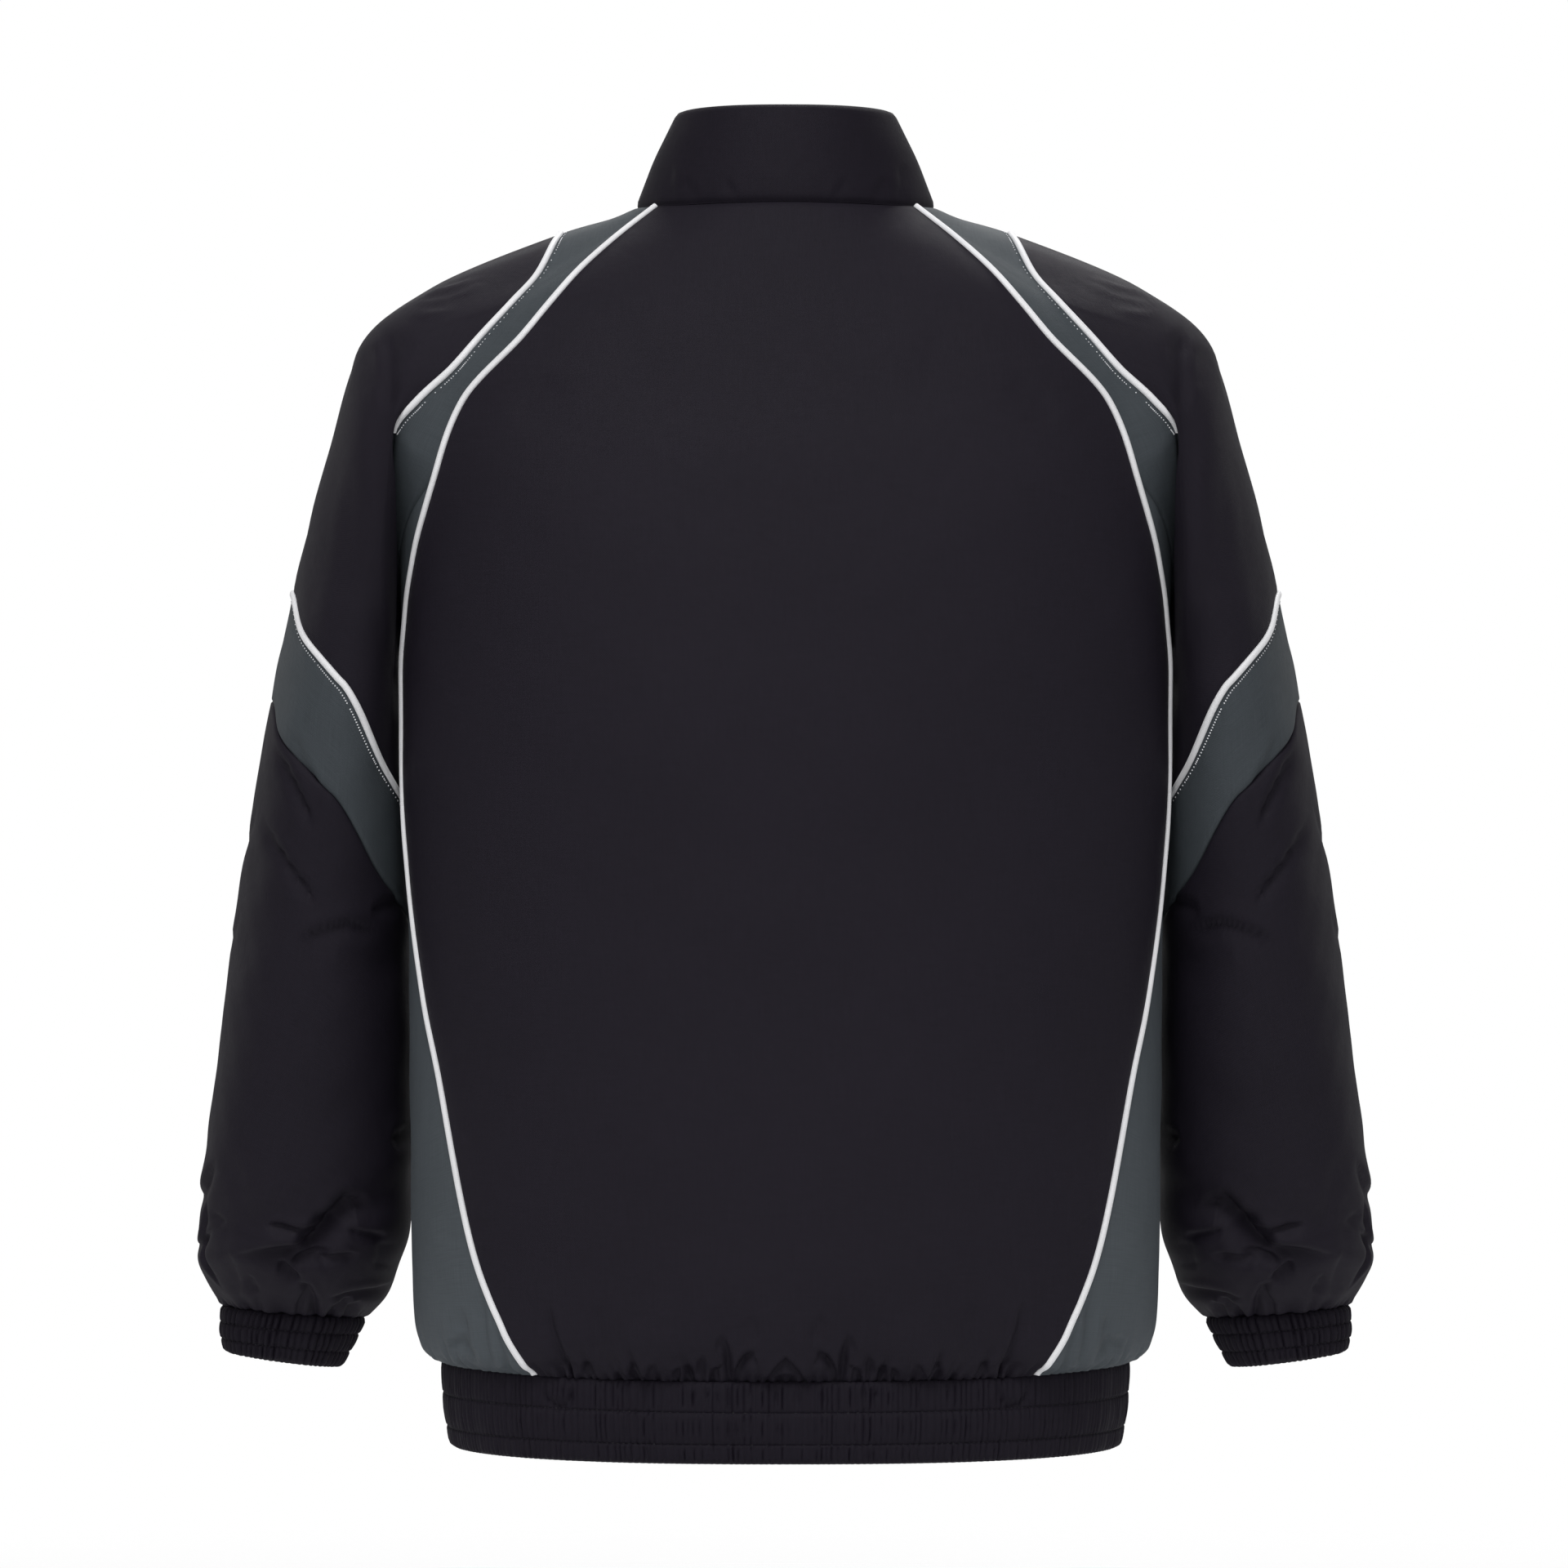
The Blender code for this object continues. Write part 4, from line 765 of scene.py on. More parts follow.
def hem_arc(angle):
    """Distance round the hem seam from the front's centre line, and that of half of it."""
    fine = np.linspace(-np.pi / 2, np.pi / 2, FINE_STEPS)
    lengths = distances(torso(fine, HEM_LEVEL + 0.01), 0)
    return np.interp(angle, fine, lengths), lengths[-1]


def from_sleeve(points):
    """0 on the line where the shoulder band is sewn on, and 1 from a short way off."""
    left = points.copy()
    left[..., 0] = np.abs(left[..., 0])
    nearest = np.ones(points.shape[:2])
    for at in body_loop()[0]:
        nearest = np.minimum(nearest, norm(left - at))
    return ease(nearest / SLEEVE_FADE)


def body_relief(points, angle, level):
    along, half = hem_arc(angle)
    up = np.maximum(level - HEM_LEVEL, 0)
    pleats = zip((BODY_GATHERS, BODY_GATHERS // 5), BODY_GATHER_SIZES)
    relief = sum(gathers(along, up, half, count, *sizes) for count, sizes in pleats)
    back = ease((points[..., 1] - MIDDLE_Y) / 0.05 + 0.5)
    relief += back * creases(points, BACK_FOLDS)
    relief += (1 - back) * HIDDEN_DEPTH * creases(points + HIDDEN_BACK_SHIFT, BACK_FOLDS)
    relief += undulation(points, BODY_UNEVEN)
    return np.maximum(relief, -SEAM_SINK - SINK_SLOPE * up) * from_sleeve(points)


def sleeve_relief(grid, normals, turns):
    back = ease(normals[..., 1] * 1.5 + 0.4)
    front = ease(-normals[..., 1] * 1.5 + 0.4)
    relief = sleeve_folds(grid, turns)
    relief += back * creases(grid, SLEEVE_FOLD_LINES)
    relief += front * HIDDEN_DEPTH * creases(grid + HIDDEN_SHIFT, SLEEVE_FOLD_LINES)
    across = (grid - [0, SIDE_START, 0])[..., [1, 0, 2]]
    outer = ease(normals[..., 0] * 2.5 - 1.2) * (1 - 0.7 * np.exp(-((normals[..., 1] / 0.3) ** 2)))
    relief += outer * creases(across, OUTER_FOLDS)
    down = distances(grid, 0)
    up = down[-1:] - down
    along = turns[None, :] / 360 * CUFF_ROUND
    for count, sizes in zip((CUFF_PLEATS, 3 * CUFF_PLEATS), CUFF_GATHER_SIZES):
        relief += gathers(along, up, CUFF_ROUND, count, *sizes)
    relief += ease((-0.10 - grid[..., 2]) / 0.15) * undulation(grid, SLEEVE_UNEVEN)
    return np.maximum(relief, -SEAM_SINK - SINK_SLOPE * up) * ease(down / SLEEVE_FADE)


# Elastic bands and collar


def band_heights(rows, lines, length):
    """Heights of a band's rows as shares of its own, closest at its stitch lines."""
    close = [line + away / length for line in lines for away in GROOVE_ROWS]
    clear = GROOVE_CLEAR / length
    plain = [share for share in steps(rows, 0.03) if min(abs(share - line) for line in lines) > clear]
    return np.sort(np.array(plain + close))


def band_relief(height, along, lines, length, count, seed, depth, drifting, puff=0.0004):
    """Elastic cloth: it puffs up between its stitch lines and gathers all along them."""
    rng = np.random.default_rng(seed)
    once = 2 * np.pi * along / along[..., -1:]  # a full turn over the whole band
    stops = (0.0, *lines, 1.0)
    rise = np.zeros(height.shape)
    drift = np.zeros(along.shape)
    for low, high in zip(stops[:-1], stops[1:]):
        t = np.clip((height - low) / (high - low), 0, 1)
        rise = rise + np.sin(np.pi * t) ** 0.5
        turn = rng.uniform(0, 2 * np.pi)
        drift = drift + drifting * np.sin(np.pi * t) * np.sin(once * count / 3.7 + turn)
    phase = once * count + drift
    strength = 0.75
    for times, amount in ((0.031, 1.6), (0.083, 0.9), (0.21, 0.45), (0.37, 0.25)):
        phase = phase + amount * np.sin(once * round(count * times) + rng.uniform(0, 2 * np.pi))
        strength = strength + 0.14 * np.sin(once * round(count * times * 1.7) + rng.uniform(0, 6))
    ribs = 2 * np.abs(np.cos(phase / 2)) ** 0.8 - 1.1
    groove = sum(np.exp(-(((height - line) * length / GROOVE_WIDTH) ** 2)) for line in lines)
    return puff * (rise - 0.35) + depth * strength * ribs * (0.62 + 0.38 * rise) - GROOVE_DEPTH * groove


def open_normals(grid):
    return unit(np.cross(np.gradient(grid, axis=1), np.gradient(grid, axis=0)))


def hem_cloth(heights):
    """The hem band from the zip round the left side, the back and the right side to the zip."""
    rows = []
    power = TORSO["power"][-1]
    for level in HEM_EDGE + heights * HEM_HEIGHT:
        half, back, front = (curve(HEM, column, level) for column in ("half_width", "back", "front"))
        start = math.acos((ZIP_HALF / half) ** (power / 2))
        angle = np.linspace(-start, math.pi / 2, FINE_STEPS)
        x, y = oval(angle, half, back, front, power)
        up = (level - HEM_EDGE) / HEM_HEIGHT
        rise = (HEM_EDGE_RISE + up * (SIDE_RISE - HEM_EDGE_RISE)) * np.cos(angle) ** 2
        left = evenly(np.stack([x, y, level + rise], axis=-1), HEM_COLUMNS)
        rows.append(np.concatenate([left[:-1], left[::-1] * [-1, 1, 1]]))
    grid = np.array(rows)
    along = distances(grid, 1)
    count = 2 * BAND_GATHERS
    relief = band_relief(heights[:, None], along, HEM_STITCHES, HEM_HEIGHT, count, 21, 0.0008, 1.3)
    relief += creases(grid, BAND_FOLDS) * ease(grid[..., 1] / 0.05)
    flat = ease(np.minimum(along, along[:, -1:] - along) / 0.012)
    return with_relief(grid, open_normals(grid), relief * flat)


def cuff_cloth(heights):
    turns = np.linspace(0, 360, CUFF_COLUMNS, endpoint=False)
    rings = np.array(section_rings(CUFF, turns))
    at = np.broadcast_to(((len(rings) - 1) * heights)[:, None], (len(heights), CUFF_COLUMNS))
    grid = along_sleeve(rings, at)
    along = distances(looped(grid, 1), 1)
    count = CUFF_BAND_GATHERS
    relief = band_relief(heights[:, None], along, CUFF_STITCHES, CUFF_LENGTH, count, 31, 0.0013, 0.5)
    return with_relief(grid, grid_normals(grid), relief[:, :-1])


def collar_cloth(neck):
    """The collar, over the neck seam's points from the left of the zip round the back to its right."""
    reach = np.where(neck[:, 1] > MIDDLE_Y, TORSO["back"][1] - MIDDLE_Y, MIDDLE_Y - TORSO["front"][4])
    angle = np.arctan2((neck[:, 1] - MIDDLE_Y) / reach, neck[:, 0] / NECK_HALF)
    before = np.sin(angle) < 0
    least = np.where(before, ZIP_HALF, 0.0)
    x = np.sign(neck[:, 0]) * np.maximum(COLLAR_HALF * np.abs(np.cos(angle)) ** COLLAR_SQUARE, least)
    y = COLLAR_MIDDLE_Y + np.where(before, COLLAR_FRONT, COLLAR_BACK) * np.sin(angle)
    z = COLLAR_TOP - COLLAR_DROP * np.clip(-np.sin(angle), 0, 1) ** NECK_DROP_POWER
    top = np.stack([x, y, z], axis=-1)
    outward = np.stack([np.cos(angle), np.sin(angle), 0 * angle], axis=-1)
    t = steps(COLLAR_ROWS, 0.02)[:, None, None]
    grid = neck + t * (top - neck) + outward * COLLAR_BULGE * 4 * t * (1 - t)
    relief = creases(grid, COLLAR_FOLDS) + undulation(grid, COLLAR_UNEVEN)
    return with_relief(grid, open_normals(grid), relief * np.sin(np.pi * t[..., 0]) ** 0.5)


# Making pieces


def quads(rows, columns, closed=False):
    r, c = np.mgrid[0 : rows - 1, 0 : columns if closed else columns - 1]
    d = (c + 1) % columns
    ends = [r * columns + c, r * columns + d, (r + 1) * columns + d, (r + 1) * columns + c]
    return np.stack(ends, axis=-1).reshape(-1, 4)


def linked(name, data):
    made = bpy.data.objects.new(name, data)
    bpy.context.scene.collection.objects.link(made)
    return made


def riding(name, mesh, material, sharp, body="jacket", node=None):
    """A mesh as a piece that rides on a body, smooth but for edges sharper than so many degrees."""
    mesh.shade_smooth()
    mesh.set_sharp_from_angle(angle=math.radians(sharp))
    mesh.materials.append(material)
    made = linked(name, mesh)
    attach(made, body)
    if node:
        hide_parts(node)
    return made


def add_piece(name, points, faces, material, node=None, uv=None):
    """A piece from its points and faces, mirrored where its name ends in right."""
    if name.endswith("right"):
        points = points * [-1, 1, 1]
        faces = [face[::-1] for face in faces]
        uv = uv and [corners[::-1] for corners in uv]
    mesh = bpy.data.meshes.new(name)
    mesh.from_pydata(points.tolist(), [], [list(map(int, face)) for face in faces])
    if uv:
        layer = mesh.uv_layers.new(name="cloth")
        layer.data.foreach_set("uv", np.concatenate(uv).astype(np.float32).ravel())
    return riding(name, mesh, material, 60, node=node)


def seam_roll(grid, edges, depth, width):
    """How far the cloth sinks as it rolls into its seams: shares of depth at edges, dying out over width."""
    total = np.zeros(grid.shape[:2])
    for axis, names in ((0, ("first_row", "last_row")), (1, ("first_column", "last_column"))):
        along = distances(grid, axis)
        whole = np.take(along, [-1], axis)
        for name, reach in zip(names, (along, whole - along)):
            if name in edges:
                total = np.maximum(total, edges[name] * depth * np.exp(-((reach / width) ** 2)))
    return total


def lowest(values, closed):
    """At each place the least value within a few rows and columns."""
    found = values
    for axis, reach in ((0, INNER_STEP), (1, 2)):
        pad = [(0, 0), (0, 0)]
        pad[axis] = (reach, reach)
        wide = np.pad(found, pad, mode="wrap" if closed and axis else "edge")
        found = np.lib.stride_tricks.sliding_window_view(wide, 2 * reach + 1, axis=axis).min(axis=-1)
    return found


def shell(kind, side, cloth, material, edges, closed=False):
    """A cut piece as a thin closed shell in its solid's place, with a smoother inner skin of fewer rows."""
    grid, normals, relief = parts(cloth)
    rolled = seam_roll(grid, edges, SEAM_DEPTH, SEAM_REACH)
    turned_in = seam_roll(grid, edges, ALLOWANCE, ALLOWANCE_REACH)
    depth = relief - lowest(relief - rolled, closed) + SHELL + turned_in
    rows, columns = relief.shape
    kept = sorted({*range(0, rows, INNER_STEP), rows - 1})
    outer = grid - normals * rolled[..., None]
    inner = (grid - normals * depth[..., None])[kept]
    loop = looped(grid, 1) if closed else grid
    u = distances(loop, 1)
    u = u - u[:, u.shape[1] // 2][:, None]
    v = np.broadcast_to(distances(loop, 0).mean(axis=1)[:, None], u.shape)
    flat = np.stack([u, v], axis=-1)
    wide, base = u.shape[1], rows * columns
    faces = [*quads(rows, columns, closed), *(quads(len(kept), columns, closed)[:, ::-1] + base)]
    uv = list(flat.reshape(-1, 2)[quads(rows, wide)])
    uv += list(flat[kept].reshape(-1, 2)[quads(len(kept), wide)[:, ::-1]])
    here = np.arange(columns if closed else columns - 1)
    there = (here + 1) % columns
    last, inner_last = base - columns, base + (len(kept) - 1) * columns
    faces += list(np.stack([here, base + here, base + there, there], axis=1))
    faces += list(np.stack([last + here, last + there, inner_last + there, inner_last + here], axis=1))
    for row in (0, -1):
        uv += list(flat[row][here[:, None] + [0, 1, 1, 0]])
    if not closed:
        for k in range(len(kept) - 1):
            run = np.arange(kept[k], kept[k + 1] + 1)
            end = np.array([*(run * columns), base + (k + 1) * columns, base + k * columns])
            faces += [end, end[::-1] + columns - 1]
            uv += [np.repeat(flat[kept[k], [column]], len(end), axis=0) for column in (0, -1)]
    points = np.concatenate([outer.reshape(-1, 3), inner.reshape(-1, 3)])
    made = add_piece(f"cloth_{kind}{side}", points, faces, material, kind + side, uv)


def piping(name, cloth, closed=False):
    """Round piping along a line of cloth, which stands for the solid of its name."""
    line, normals, _ = parts(cloth)
    along = np.roll(line, -1, axis=0) - np.roll(line, 1, axis=0) if closed else np.gradient(line, axis=0)
    side = unit(np.cross(unit(along), normals))
    half, rise, sink = PIPING_SIZES
    turns = np.linspace(0, np.pi, 9)
    section = [(half * math.cos(turn), rise * math.sin(turn) ** 0.8 - 0.0002) for turn in turns]
    section += [(way * 0.3 * PIPING_WIDTH, -sink) for way in (-1, 1)]
    rings = np.stack([line + side * s + normals * n for s, n in section], axis=1)
    around = len(section)
    points = rings.reshape(-1, 3)
    rings = looped(rings) if closed else rings
    count = len(rings)
    spun = np.broadcast_to(np.linspace(0, PIPING_WIDTH * 2.6, around + 1)[None, :], (count, around + 1))
    lengths = np.broadcast_to(distances(rings, 0)[:, :1], spun.shape)
    flat = np.stack([spun, lengths], axis=-1).reshape(-1, 2)
    faces = [face % len(points) for face in quads(count, around, True)[:, ::-1]]
    uv = list(flat[quads(count, around + 1)[:, ::-1]])
    if not closed:
        faces += [np.arange(around), np.arange(around)[::-1] + (count - 1) * around]
        uv += [np.zeros((around, 2))] * 2
    add_piece(f"fine_{name}", points, faces, pale, name, uv)


def inset_line(cloth, distance):
    """The line on the cloth at a distance from its first column."""
    cloth = cloth.transpose(1, 0, 2)[..., :6]
    grid = cloth[..., :3]
    along = distances(grid, 0)
    slant = norm(np.cross(unit(np.gradient(grid[0], axis=0)), unit(grid[2] - grid[0])))
    reach = distance / np.maximum(slant, 0.3)
    lines = zip(reach, along.T, cloth.transpose(1, 2, 0))
    return np.array([[np.interp(at, run, column) for column in columns] for at, run, columns in lines])


def beside(cloth, line, distance):
    """A line on a piece of cloth that keeps its distance from another line."""
    at, out, _ = parts(line)
    found = at + unit(np.cross(unit(np.gradient(at, axis=0)), out)) * distance
    points, normals, _ = parts(cloth.reshape(-1, 7))
    nearest = [np.argmin(norm(points - point)) for point in found]
    points, normals = points[nearest], normals[nearest]
    found = found - normals * np.sum((found - points) * normals, axis=1, keepdims=True)
    return np.concatenate([found, normals], axis=1)


def stitches(name, line, material, sizes=DARK_STITCH):
    """A row of small raised stitches along a line of cloth, all in one piece."""
    pitch, length, width, rise = sizes
    total = norm(np.diff(line[:, :3], axis=0)).sum()
    both = evenly(np.concatenate([line[:, :3], unit(line[:, 3:6])], axis=1), max(2, round(total / pitch)))
    at, out = both[:, :3], unit(both[:, 3:])
    along = unit(np.gradient(at, axis=0))
    ahead, aside, rise = along * length / 2, np.cross(along, out) * width / 2, out * rise
    corners = [ahead, aside + rise * 0.3, -ahead, -aside + rise * 0.3, rise, -rise]
    points = np.stack([at + corner for corner in corners], axis=1).reshape(-1, 3)
    one = np.array([(1, 0, 4), (2, 1, 4), (3, 2, 4), (0, 3, 4), (0, 1, 5), (1, 2, 5), (2, 3, 5), (3, 0, 5)])
    faces = (np.arange(len(at))[:, None, None] * 6 + one[None]).reshape(-1, 3)
    add_piece(name, points, list(faces), material)


def zip_teeth(edge):
    """The teeth up the middle of the front, which lean to the left and right in turn."""
    line = np.concatenate([edge[:, :3] * [0, 1, 1], edge[:, 3:6] * [0, 1, 1]], axis=1)
    both = evenly(line, round(norm(np.diff(line[:, :3], axis=0)).sum() / TOOTH_PITCH))
    last = len(both) - round(SLIDER_TOP / TOOTH_PITCH)
    at, outward = both[3:last, :3], unit(both[3:last, 3:])
    up = unit(np.gradient(at, axis=0))
    turn = np.where(np.arange(len(at)) % 2 == 0, 1.0, -1.0)[:, None]
    across = turn * [1.0, 0.0, 0.0]
    middle = at + across * 0.00035 - outward * 0.0002
    wide, high, deep = TOOTH
    across, up, outward = across * wide / 2, up * high / 2, outward * deep
    points = [middle + across * x + up * z + outward * y for x, z, y in TOOTH_BASE + TOOTH_TOP]
    points = np.stack(points, axis=1).reshape(-1, 3)
    one = np.array([(0, 3, 2, 1), (4, 5, 6, 7), (0, 1, 5, 4), (1, 2, 6, 5), (2, 3, 7, 6), (3, 0, 4, 7)])
    faces = np.where(turn[:, :, None] > 0, one, one[:, ::-1]) + np.arange(len(at))[:, None, None] * 8
    add_piece("zip_teeth", points, list(faces.reshape(-1, 4)), metal)


def refined(node, body, bevel):
    """The slider or the pull with rounded edges, in the CAD node's place."""
    mesh = bmesh.new()
    mesh.from_mesh(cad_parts[node].data)
    bmesh.ops.remove_doubles(mesh, verts=mesh.verts, dist=1e-5)
    bmesh.ops.dissolve_limit(mesh, angle_limit=math.radians(1), verts=mesh.verts, edges=mesh.edges)
    sharp = [e for e in mesh.edges if e.is_manifold and e.calc_face_angle(0) > math.radians(20)]
    bmesh.ops.bevel(
        mesh, geom=sharp, offset=bevel, segments=2, profile=0.5, affect="EDGES", clamp_overlap=True
    )
    data = bpy.data.meshes.new(f"fine_{node}")
    mesh.to_mesh(data)
    mesh.free()
    data.materials.clear()
    riding(f"fine_{node}", data, metal, 35, body, node)


# Materials


def add_node(tree, kind, values=(), **settings):
    """A node. values gives what each input takes: another node's output, or a constant."""
    node = tree.nodes.new(f"ShaderNode{kind}")
    for key, value in settings.items():
        setattr(node, key, value)
    for key, value in dict(values).items():
        if isinstance(value, bpy.types.NodeSocket):
            tree.links.new(value, node.inputs[key])
        else:
            node.inputs[key].default_value = value
    return node


class Material:
    """A material made with nodes. place is where a point is."""

    def __init__(self, name):
        self.made = bpy.data.materials.new(name)
        self.made.use_nodes = True
        self.tree = self.made.node_tree
        self.shader = self.tree.nodes["Principled BSDF"]
        self.place = add_node(self.tree, "TexCoord").outputs["Object"]

    def flat_place(self):
        """Where a point is on the cut cloth."""
        return add_node(self.tree, "UVMap", uv_map="cloth").outputs[0]

    def compute(self, operation, *values):
        return add_node(self.tree, "Math", enumerate(values), operation=operation).outputs[0]

    def times(self, *values):
        return self.compute("MULTIPLY", *values)

    def plus(self, value, amount, more):
        """The value times an amount, plus something more."""
        return self.compute("MULTIPLY_ADD", value, amount, more)

    def split(self, vector):
        return add_node(self.tree, "SeparateXYZ", {0: vector}).outputs

    def wave(self, value, pitch):
        return self.compute("SINE", self.times(value, 2 * math.pi / pitch))

    def noise(self, vector, scale, detail=3.0, roughness=0.5, distortion=0.0):
        values = {"Vector": vector, "Scale": scale, "Detail": detail}
        values |= {"Roughness": roughness, "Distortion": distortion}
        return add_node(self.tree, "TexNoise", values, noise_dimensions="3D").outputs["Fac"]

    def stretched_noise(self, vector, scales, detail):
        scaled = add_node(self.tree, "VectorMath", {0: vector, 1: scales}, operation="MULTIPLY").outputs[0]
        return self.noise(scaled, 1.0, detail)

    def finish(self, colour, shade, height, roughness, spread, specular, sheen=0.0, metallic=0.0):
        """Colour times shade, a bump of the given height in metres, roughness that varies with spread."""
        grey = add_node(self.tree, "CombineColor", {0: shade, 1: shade, 2: shade}).outputs[0]
        tint = add_node(self.tree, "Mix", {0: 1.0, 6: (*colour, 1.0), 7: grey}, data_type="RGBA")
        tint.blend_type = "MULTIPLY"
        bump = add_node(self.tree, "Bump", {"Strength": 1.0, "Distance": 1.0, "Height": height})
        rough = self.plus(spread, 0.10, roughness - 0.05)
        self.tree.links.new(tint.outputs[2], self.shader.inputs["Base Color"])
        self.tree.links.new(bump.outputs[0], self.shader.inputs["Normal"])
        self.tree.links.new(rough, self.shader.inputs["Roughness"])
        self.shader.inputs["Specular IOR Level"].default_value = specular
        self.shader.inputs["Sheen Weight"].default_value = sheen
        self.shader.inputs["Sheen Roughness"].default_value = 0.45
        self.shader.inputs["Metallic"].default_value = metallic
        return self.made


def cloth_material(name, colour, crinkle, roughness, specular):
    """Plain-woven cloth: threads, slubs along them, and a crinkle finer than any fold."""
    cloth = Material(name)
    flat = cloth.flat_place()
    woven = cloth.times(*(cloth.wave(way, THREAD_PITCH) for way in cloth.split(flat)[:2]))
    across = cloth.stretched_noise(flat, (55.0, 1500.0, 1.0), 2.0)
    upright = cloth.stretched_noise(flat, (1500.0, 45.0, 1.0), 2.0)
    slubs = cloth.compute("ADD", across, upright)
    fine = cloth.noise(cloth.place, 210.0, 4.0, 0.55, 0.4)
    soft = cloth.noise(cloth.place, 34.0, 3.0, 0.5, 0.8)
    wide = cloth.noise(cloth.place, 9.0, 2.0)
    height = cloth.plus(slubs, 0.00003, cloth.times(woven, 0.00004))
    height = cloth.plus(soft, crinkle * 3.4, cloth.plus(fine, crinkle, height))
    shade = cloth.plus(woven, 0.06, cloth.plus(slubs, 0.34, 0.66))
    shade = cloth.plus(wide, 0.24, cloth.compute("SUBTRACT", shade, 0.12))
    return cloth.finish(colour, shade, height, roughness, fine, specular)


def piping_material():
    """Satin binding: fine ribs across the strip, a faint crinkle and a soft gloss."""
    satin = Material("pale_piping")
    ribs = satin.wave(satin.split(satin.flat_place())[1], RIB_PITCH)
    fine = satin.noise(satin.place, 420.0)
    wide = satin.noise(satin.place, 40.0, 2.0)
    height = satin.plus(wide, 0.00060, satin.plus(fine, 0.00012, satin.times(ribs, 0.000018)))
    shade = satin.plus(ribs, 0.025, satin.plus(wide, 0.16, 0.90))
    return satin.finish(PALE, shade, height, 0.50, fine, 0.45, 0.12)


def thread_material(name, colour):
    thread = Material(name)
    twist = thread.noise(thread.place, 1800.0, 2.0)
    shade = thread.plus(twist, 0.4, 0.8)
    return thread.finish(colour, shade, thread.times(twist, 0.0001), 0.5, twist, 0.35)


def tape_material():
    """Twill tape, from the place of each point: the tapes run up the front's middle."""
    tape = Material("woven_tape")
    x, _, z = tape.split(tape.place)
    woven = tape.times(tape.wave(tape.plus(x, 1.4, z), 0.0010), tape.wave(x, 0.0009))
    fine = tape.noise(tape.place, 700.0, 2.0)
    height = tape.plus(woven, 0.00007, tape.times(fine, 0.00008))
    shade = tape.plus(woven, 0.12, tape.plus(fine, 0.3, 0.8))
    return tape.finish((0.014, 0.0125, 0.017), shade, height, 0.65, fine, 0.3, 0.1)


def metal_material():
    """Dark plated zip metal with fine scuffs and worn, slightly brighter spots."""
    plated = Material("dark_metal")
    scuff = plated.stretched_noise(plated.place, (2600.0, 900.0, 500.0), 3.0)
    worn = plated.noise(plated.place, 520.0, 3.0, 0.6)
    height = plated.plus(scuff, 0.00002, plated.times(worn, 0.00005))
    shade = plated.plus(worn, 0.9, 0.55)
    return plated.finish((0.13, 0.13, 0.14), shade, height, 0.42, scuff, 0.5, metallic=0.95)


black = cloth_material("black_woven", BLACK, 0.00011, 0.66, 0.16)
# The darker black here is painted shade on the hem band, cuffs and collar.
painted_shade_black = cloth_material("black_painted_shade", PAINTED_SHADE_BLACK, 0.00011, 0.66, 0.14)
grey = cloth_material("grey_woven", GREY, 0.00010, 0.64, 0.18)
# The lighter grey here is mostly painted light on the side panels.
side_grey_painted_light = cloth_material("grey_side_painted_light", SIDE_GREY_PAINTED_LIGHT, 0.00010, 0.64, 0.18)
pale = piping_material()
pale_thread = thread_material("pale_thread", (0.80, 0.81, 0.84))
dark_thread = thread_material("dark_thread", (0.020, 0.020, 0.024))
twill = tape_material()
metal = metal_material()

# The cloth

hem_heights = band_heights(HEM_ROWS, HEM_STITCHES, HEM_HEIGHT)
cuff_heights = band_heights(CUFF_ROWS, CUFF_STITCHES, CUFF_LENGTH)
sleeve, fine_sleeve = sleeve_cloths()
back, front, side = back_panel(), front_panel(), side_panel()
cuff, hem = cuff_cloth(cuff_heights), hem_cloth(hem_heights)

# Where panels meet, their normals are the same, so that they roll into the seam alike.
facing = slice(3, 6)
raglan = np.arange(NECK_STEPS + RAGLAN_STEPS, NECK_STEPS - 1, -1)
under = sleeve[0, NECK_STEPS + RAGLAN_STEPS : len(sleeve[0]) - NECK_STEPS - RAGLAN_STEPS + 1, facing]
front[BODY_ROWS:, -1, facing] = sleeve[0, raglan, facing]
side[-1, ::2, facing] = under
side[-1, 1::2, facing] = unit(under[1:] + under[:-1])
back[BODY_ROWS:, 0, facing] = sleeve[0, -raglan, facing]
back[BODY_ROWS:, -1, facing] = sleeve[0, -raglan, facing] * [-1, 1, 1]

shell("back", "", back, black, BODY)
over_neck = np.arange(NECK_STEPS - 1, -NECK_STEPS, -1)
neck = np.concatenate([front[-1], sleeve[0, over_neck], back[-1]])
right_neck = neck[: len(neck) - len(back[-1])][::-1, :3] * [-1, 1, 1]
collar = collar_cloth(np.concatenate([neck[:, :3], right_neck]))
shared = unit(neck[:, facing] + collar[0, : len(neck), facing])
collar[0, : len(neck), facing] = shared
collar[0, -len(neck) :, facing] = shared[::-1] * [-1, 1, 1]
front[-1, :, facing] = shared[: len(front[-1])]
sleeve[0, over_neck, facing] = shared[len(front[-1]) :][: len(over_neck)]

head, band_top = BAND_ROWS, BAND_ROWS + UPPER_ROWS
band_bottom = band_top + SLEEVE_BAND_ROWS
over_head = np.arange(-HEAD_PIPING_COLUMNS, HEAD_PIPING_COLUMNS + 1)
for end in SIDES:
    shell("front", f"_{end}", front, black, BODY)
    shell("side", f"_{end}", side, side_grey_painted_light, BODY)
    shell("shoulder_band", f"_{end}", sleeve[: head + 1], grey, ENDS, True)
    shell("upper_sleeve", f"_{end}", sleeve[head : band_top + 1], black, ENDS, True)
    shell("sleeve_band", f"_{end}", sleeve[band_top : band_bottom + 1], grey, ENDS, True)
    shell("lower_sleeve", f"_{end}", fine_sleeve[band_bottom:], black, ENDS, True)
    shell("cuff", f"_{end}", cuff, painted_shade_black, ENDS, True)
shell("hem_band", "", hem, painted_shade_black, HEM_EDGES)
shell("collar", "", collar, painted_shade_black, EVERY)

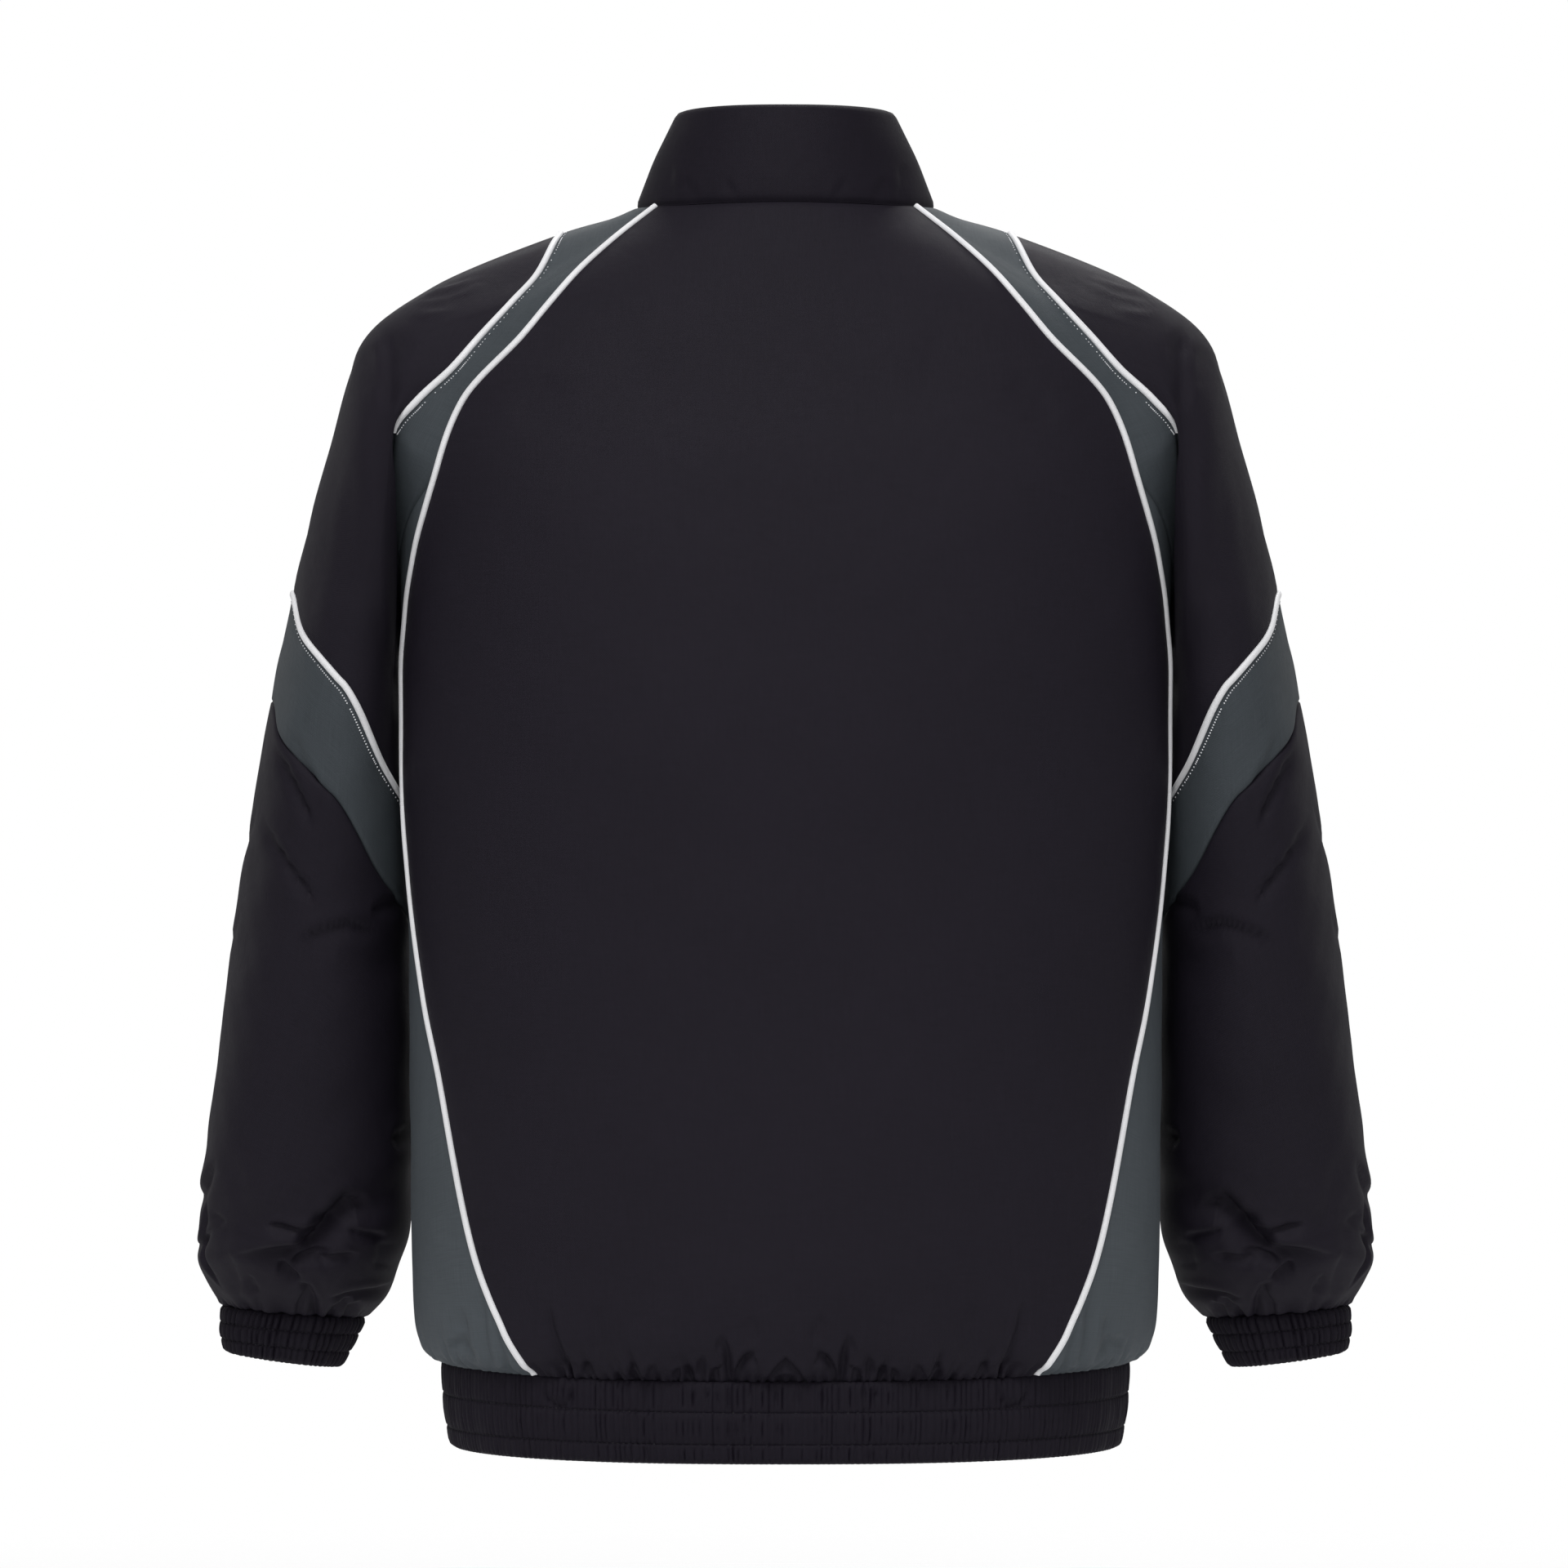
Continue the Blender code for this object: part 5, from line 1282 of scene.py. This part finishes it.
for end in SIDES:
    piping(f"back_piping_{end}", back[1:-1, 0])
    piping(f"front_piping_{end}", front[1:-1, -1])
    piping(f"shoulder_piping_{end}", sleeve[head, over_head])
    piping(f"sleeve_piping_{end}", sleeve[band_top], True)

for end in SIDES:
    line = beside(sleeve[head // 2 : head + 1], sleeve[head, over_head], SHOULDER_AWAY)
    stitches(f"shoulder_stitches_{end}", line, pale_thread, SHOULDER_STITCH)
    line = beside(sleeve[band_top:band_bottom], looped(sleeve[band_top]), SLEEVE_AWAY)
    stitches(f"sleeve_stitches_{end}", line, pale_thread, SLEEVE_STITCH)
    stitches(f"zip_edge_stitches_{end}", inset_line(front, ZIP_AWAY)[2:-2], dark_thread)
    for k, height in enumerate(CUFF_STITCHES):
        line = cuff[np.argmin(np.abs(cuff_heights - height))]
        stitches(f"cuff_stitches_{k}_{end}", looped(line), dark_thread)
for k, height in enumerate(HEM_STITCHES):
    line = hem[np.argmin(np.abs(hem_heights - height))]
    stitches(f"hem_stitches_{k}", line[2:-2], dark_thread)

# The zip

for end in SIDES:
    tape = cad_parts[f"zip_tape_{end}"]
    tape.data.materials.clear()
    tape.data.materials.append(twill)
zip_teeth(np.concatenate([hem[:, 0], front[1:, 0], collar[1:, 0]]))
refined("zip_slider", "jacket", 0.0004)
refined("zip_pull", "pull", 0.00025)

# Floor, light and camera


def pale_floor():
    """A pale round floor whose edge fades out, so that no horizon shows."""
    mesh = bpy.data.meshes.new("floor")
    turns = np.linspace(0, 2 * np.pi, 65)[:-1]
    rim = np.stack([6 * np.cos(turns), 6 * np.sin(turns), 0 * turns + FLOOR_LEVEL], axis=-1)
    mesh.from_pydata(rim.tolist(), [], [list(range(64))])
    made = linked("floor", mesh)
    floor = Material("pale_floor")
    level = add_node(floor.tree, "VectorMath", {0: floor.place, 1: (1, 1, 0)}, operation="MULTIPLY")
    reach = add_node(floor.tree, "VectorMath", {0: level.outputs[0]}, operation="LENGTH").outputs["Value"]
    fade = add_node(floor.tree, "MapRange", {0: reach, 1: 0.5, 2: 1.7, 3: 1.0, 4: 0.0})
    floor.tree.links.new(fade.outputs[0], floor.shader.inputs["Alpha"])
    floor.shader.inputs["Base Color"].default_value = (0.92, 0.92, 0.925, 1)
    floor.shader.inputs["Roughness"].default_value = 0.9
    mesh.materials.append(floor.made)


def area_light(name, at, size, power):
    data = bpy.data.lights.new(name, "AREA")
    data.shape = "DISK"
    data.size = size
    data.energy = power
    made = linked(name, data)
    made.location = at
    made.rotation_euler = (Vector((0, 0, -0.3)) - Vector(at)).to_track_quat("-Z", "Y").to_euler()


pale_floor()
for end, way in (("back", 1), ("front", -1)):
    area_light(f"{end}_key", (0.4 * way, 2.5 * way, 3.0), 1.5, 76)
    area_light(f"{end}_soft", (0.0, 4.2 * way, 0.9), 2.6, 26)
    area_light(f"{end}_fill", (-2.9, 2.4 * way, 0.2), 2.2, 11)
    area_light(f"{end}_far_fill", (2.9, 2.4 * way, 0.2), 2.2, 11)
world = bpy.data.worlds.new("studio")
bpy.context.scene.world = world
world.use_nodes = True
tree = world.node_tree
tree.nodes.clear()
white = {"Color": (1, 1, 1, 1)}
seen, lit = (add_node(tree, "Background", {**white, "Strength": light}) for light in (1.0, 0.26))
path = add_node(tree, "LightPath").outputs["Is Camera Ray"]
mixed = add_node(tree, "MixShader", {0: path, 1: lit.outputs[0], 2: seen.outputs[0]})
add_node(tree, "OutputWorld", {"Surface": mixed.outputs[0]})
camera = bpy.data.cameras.new("camera")
camera.lens = 179.3
camera.sensor_width = 36.0
camera.clip_end = 60
made = linked("camera", camera)
made.location = CAMERA_AT
made.rotation_euler = (math.pi / 2, 0, math.pi)
bpy.context.scene.camera = made
bpy.context.scene.view_settings.view_transform = "Standard"

bpy.context.view_layer.update()
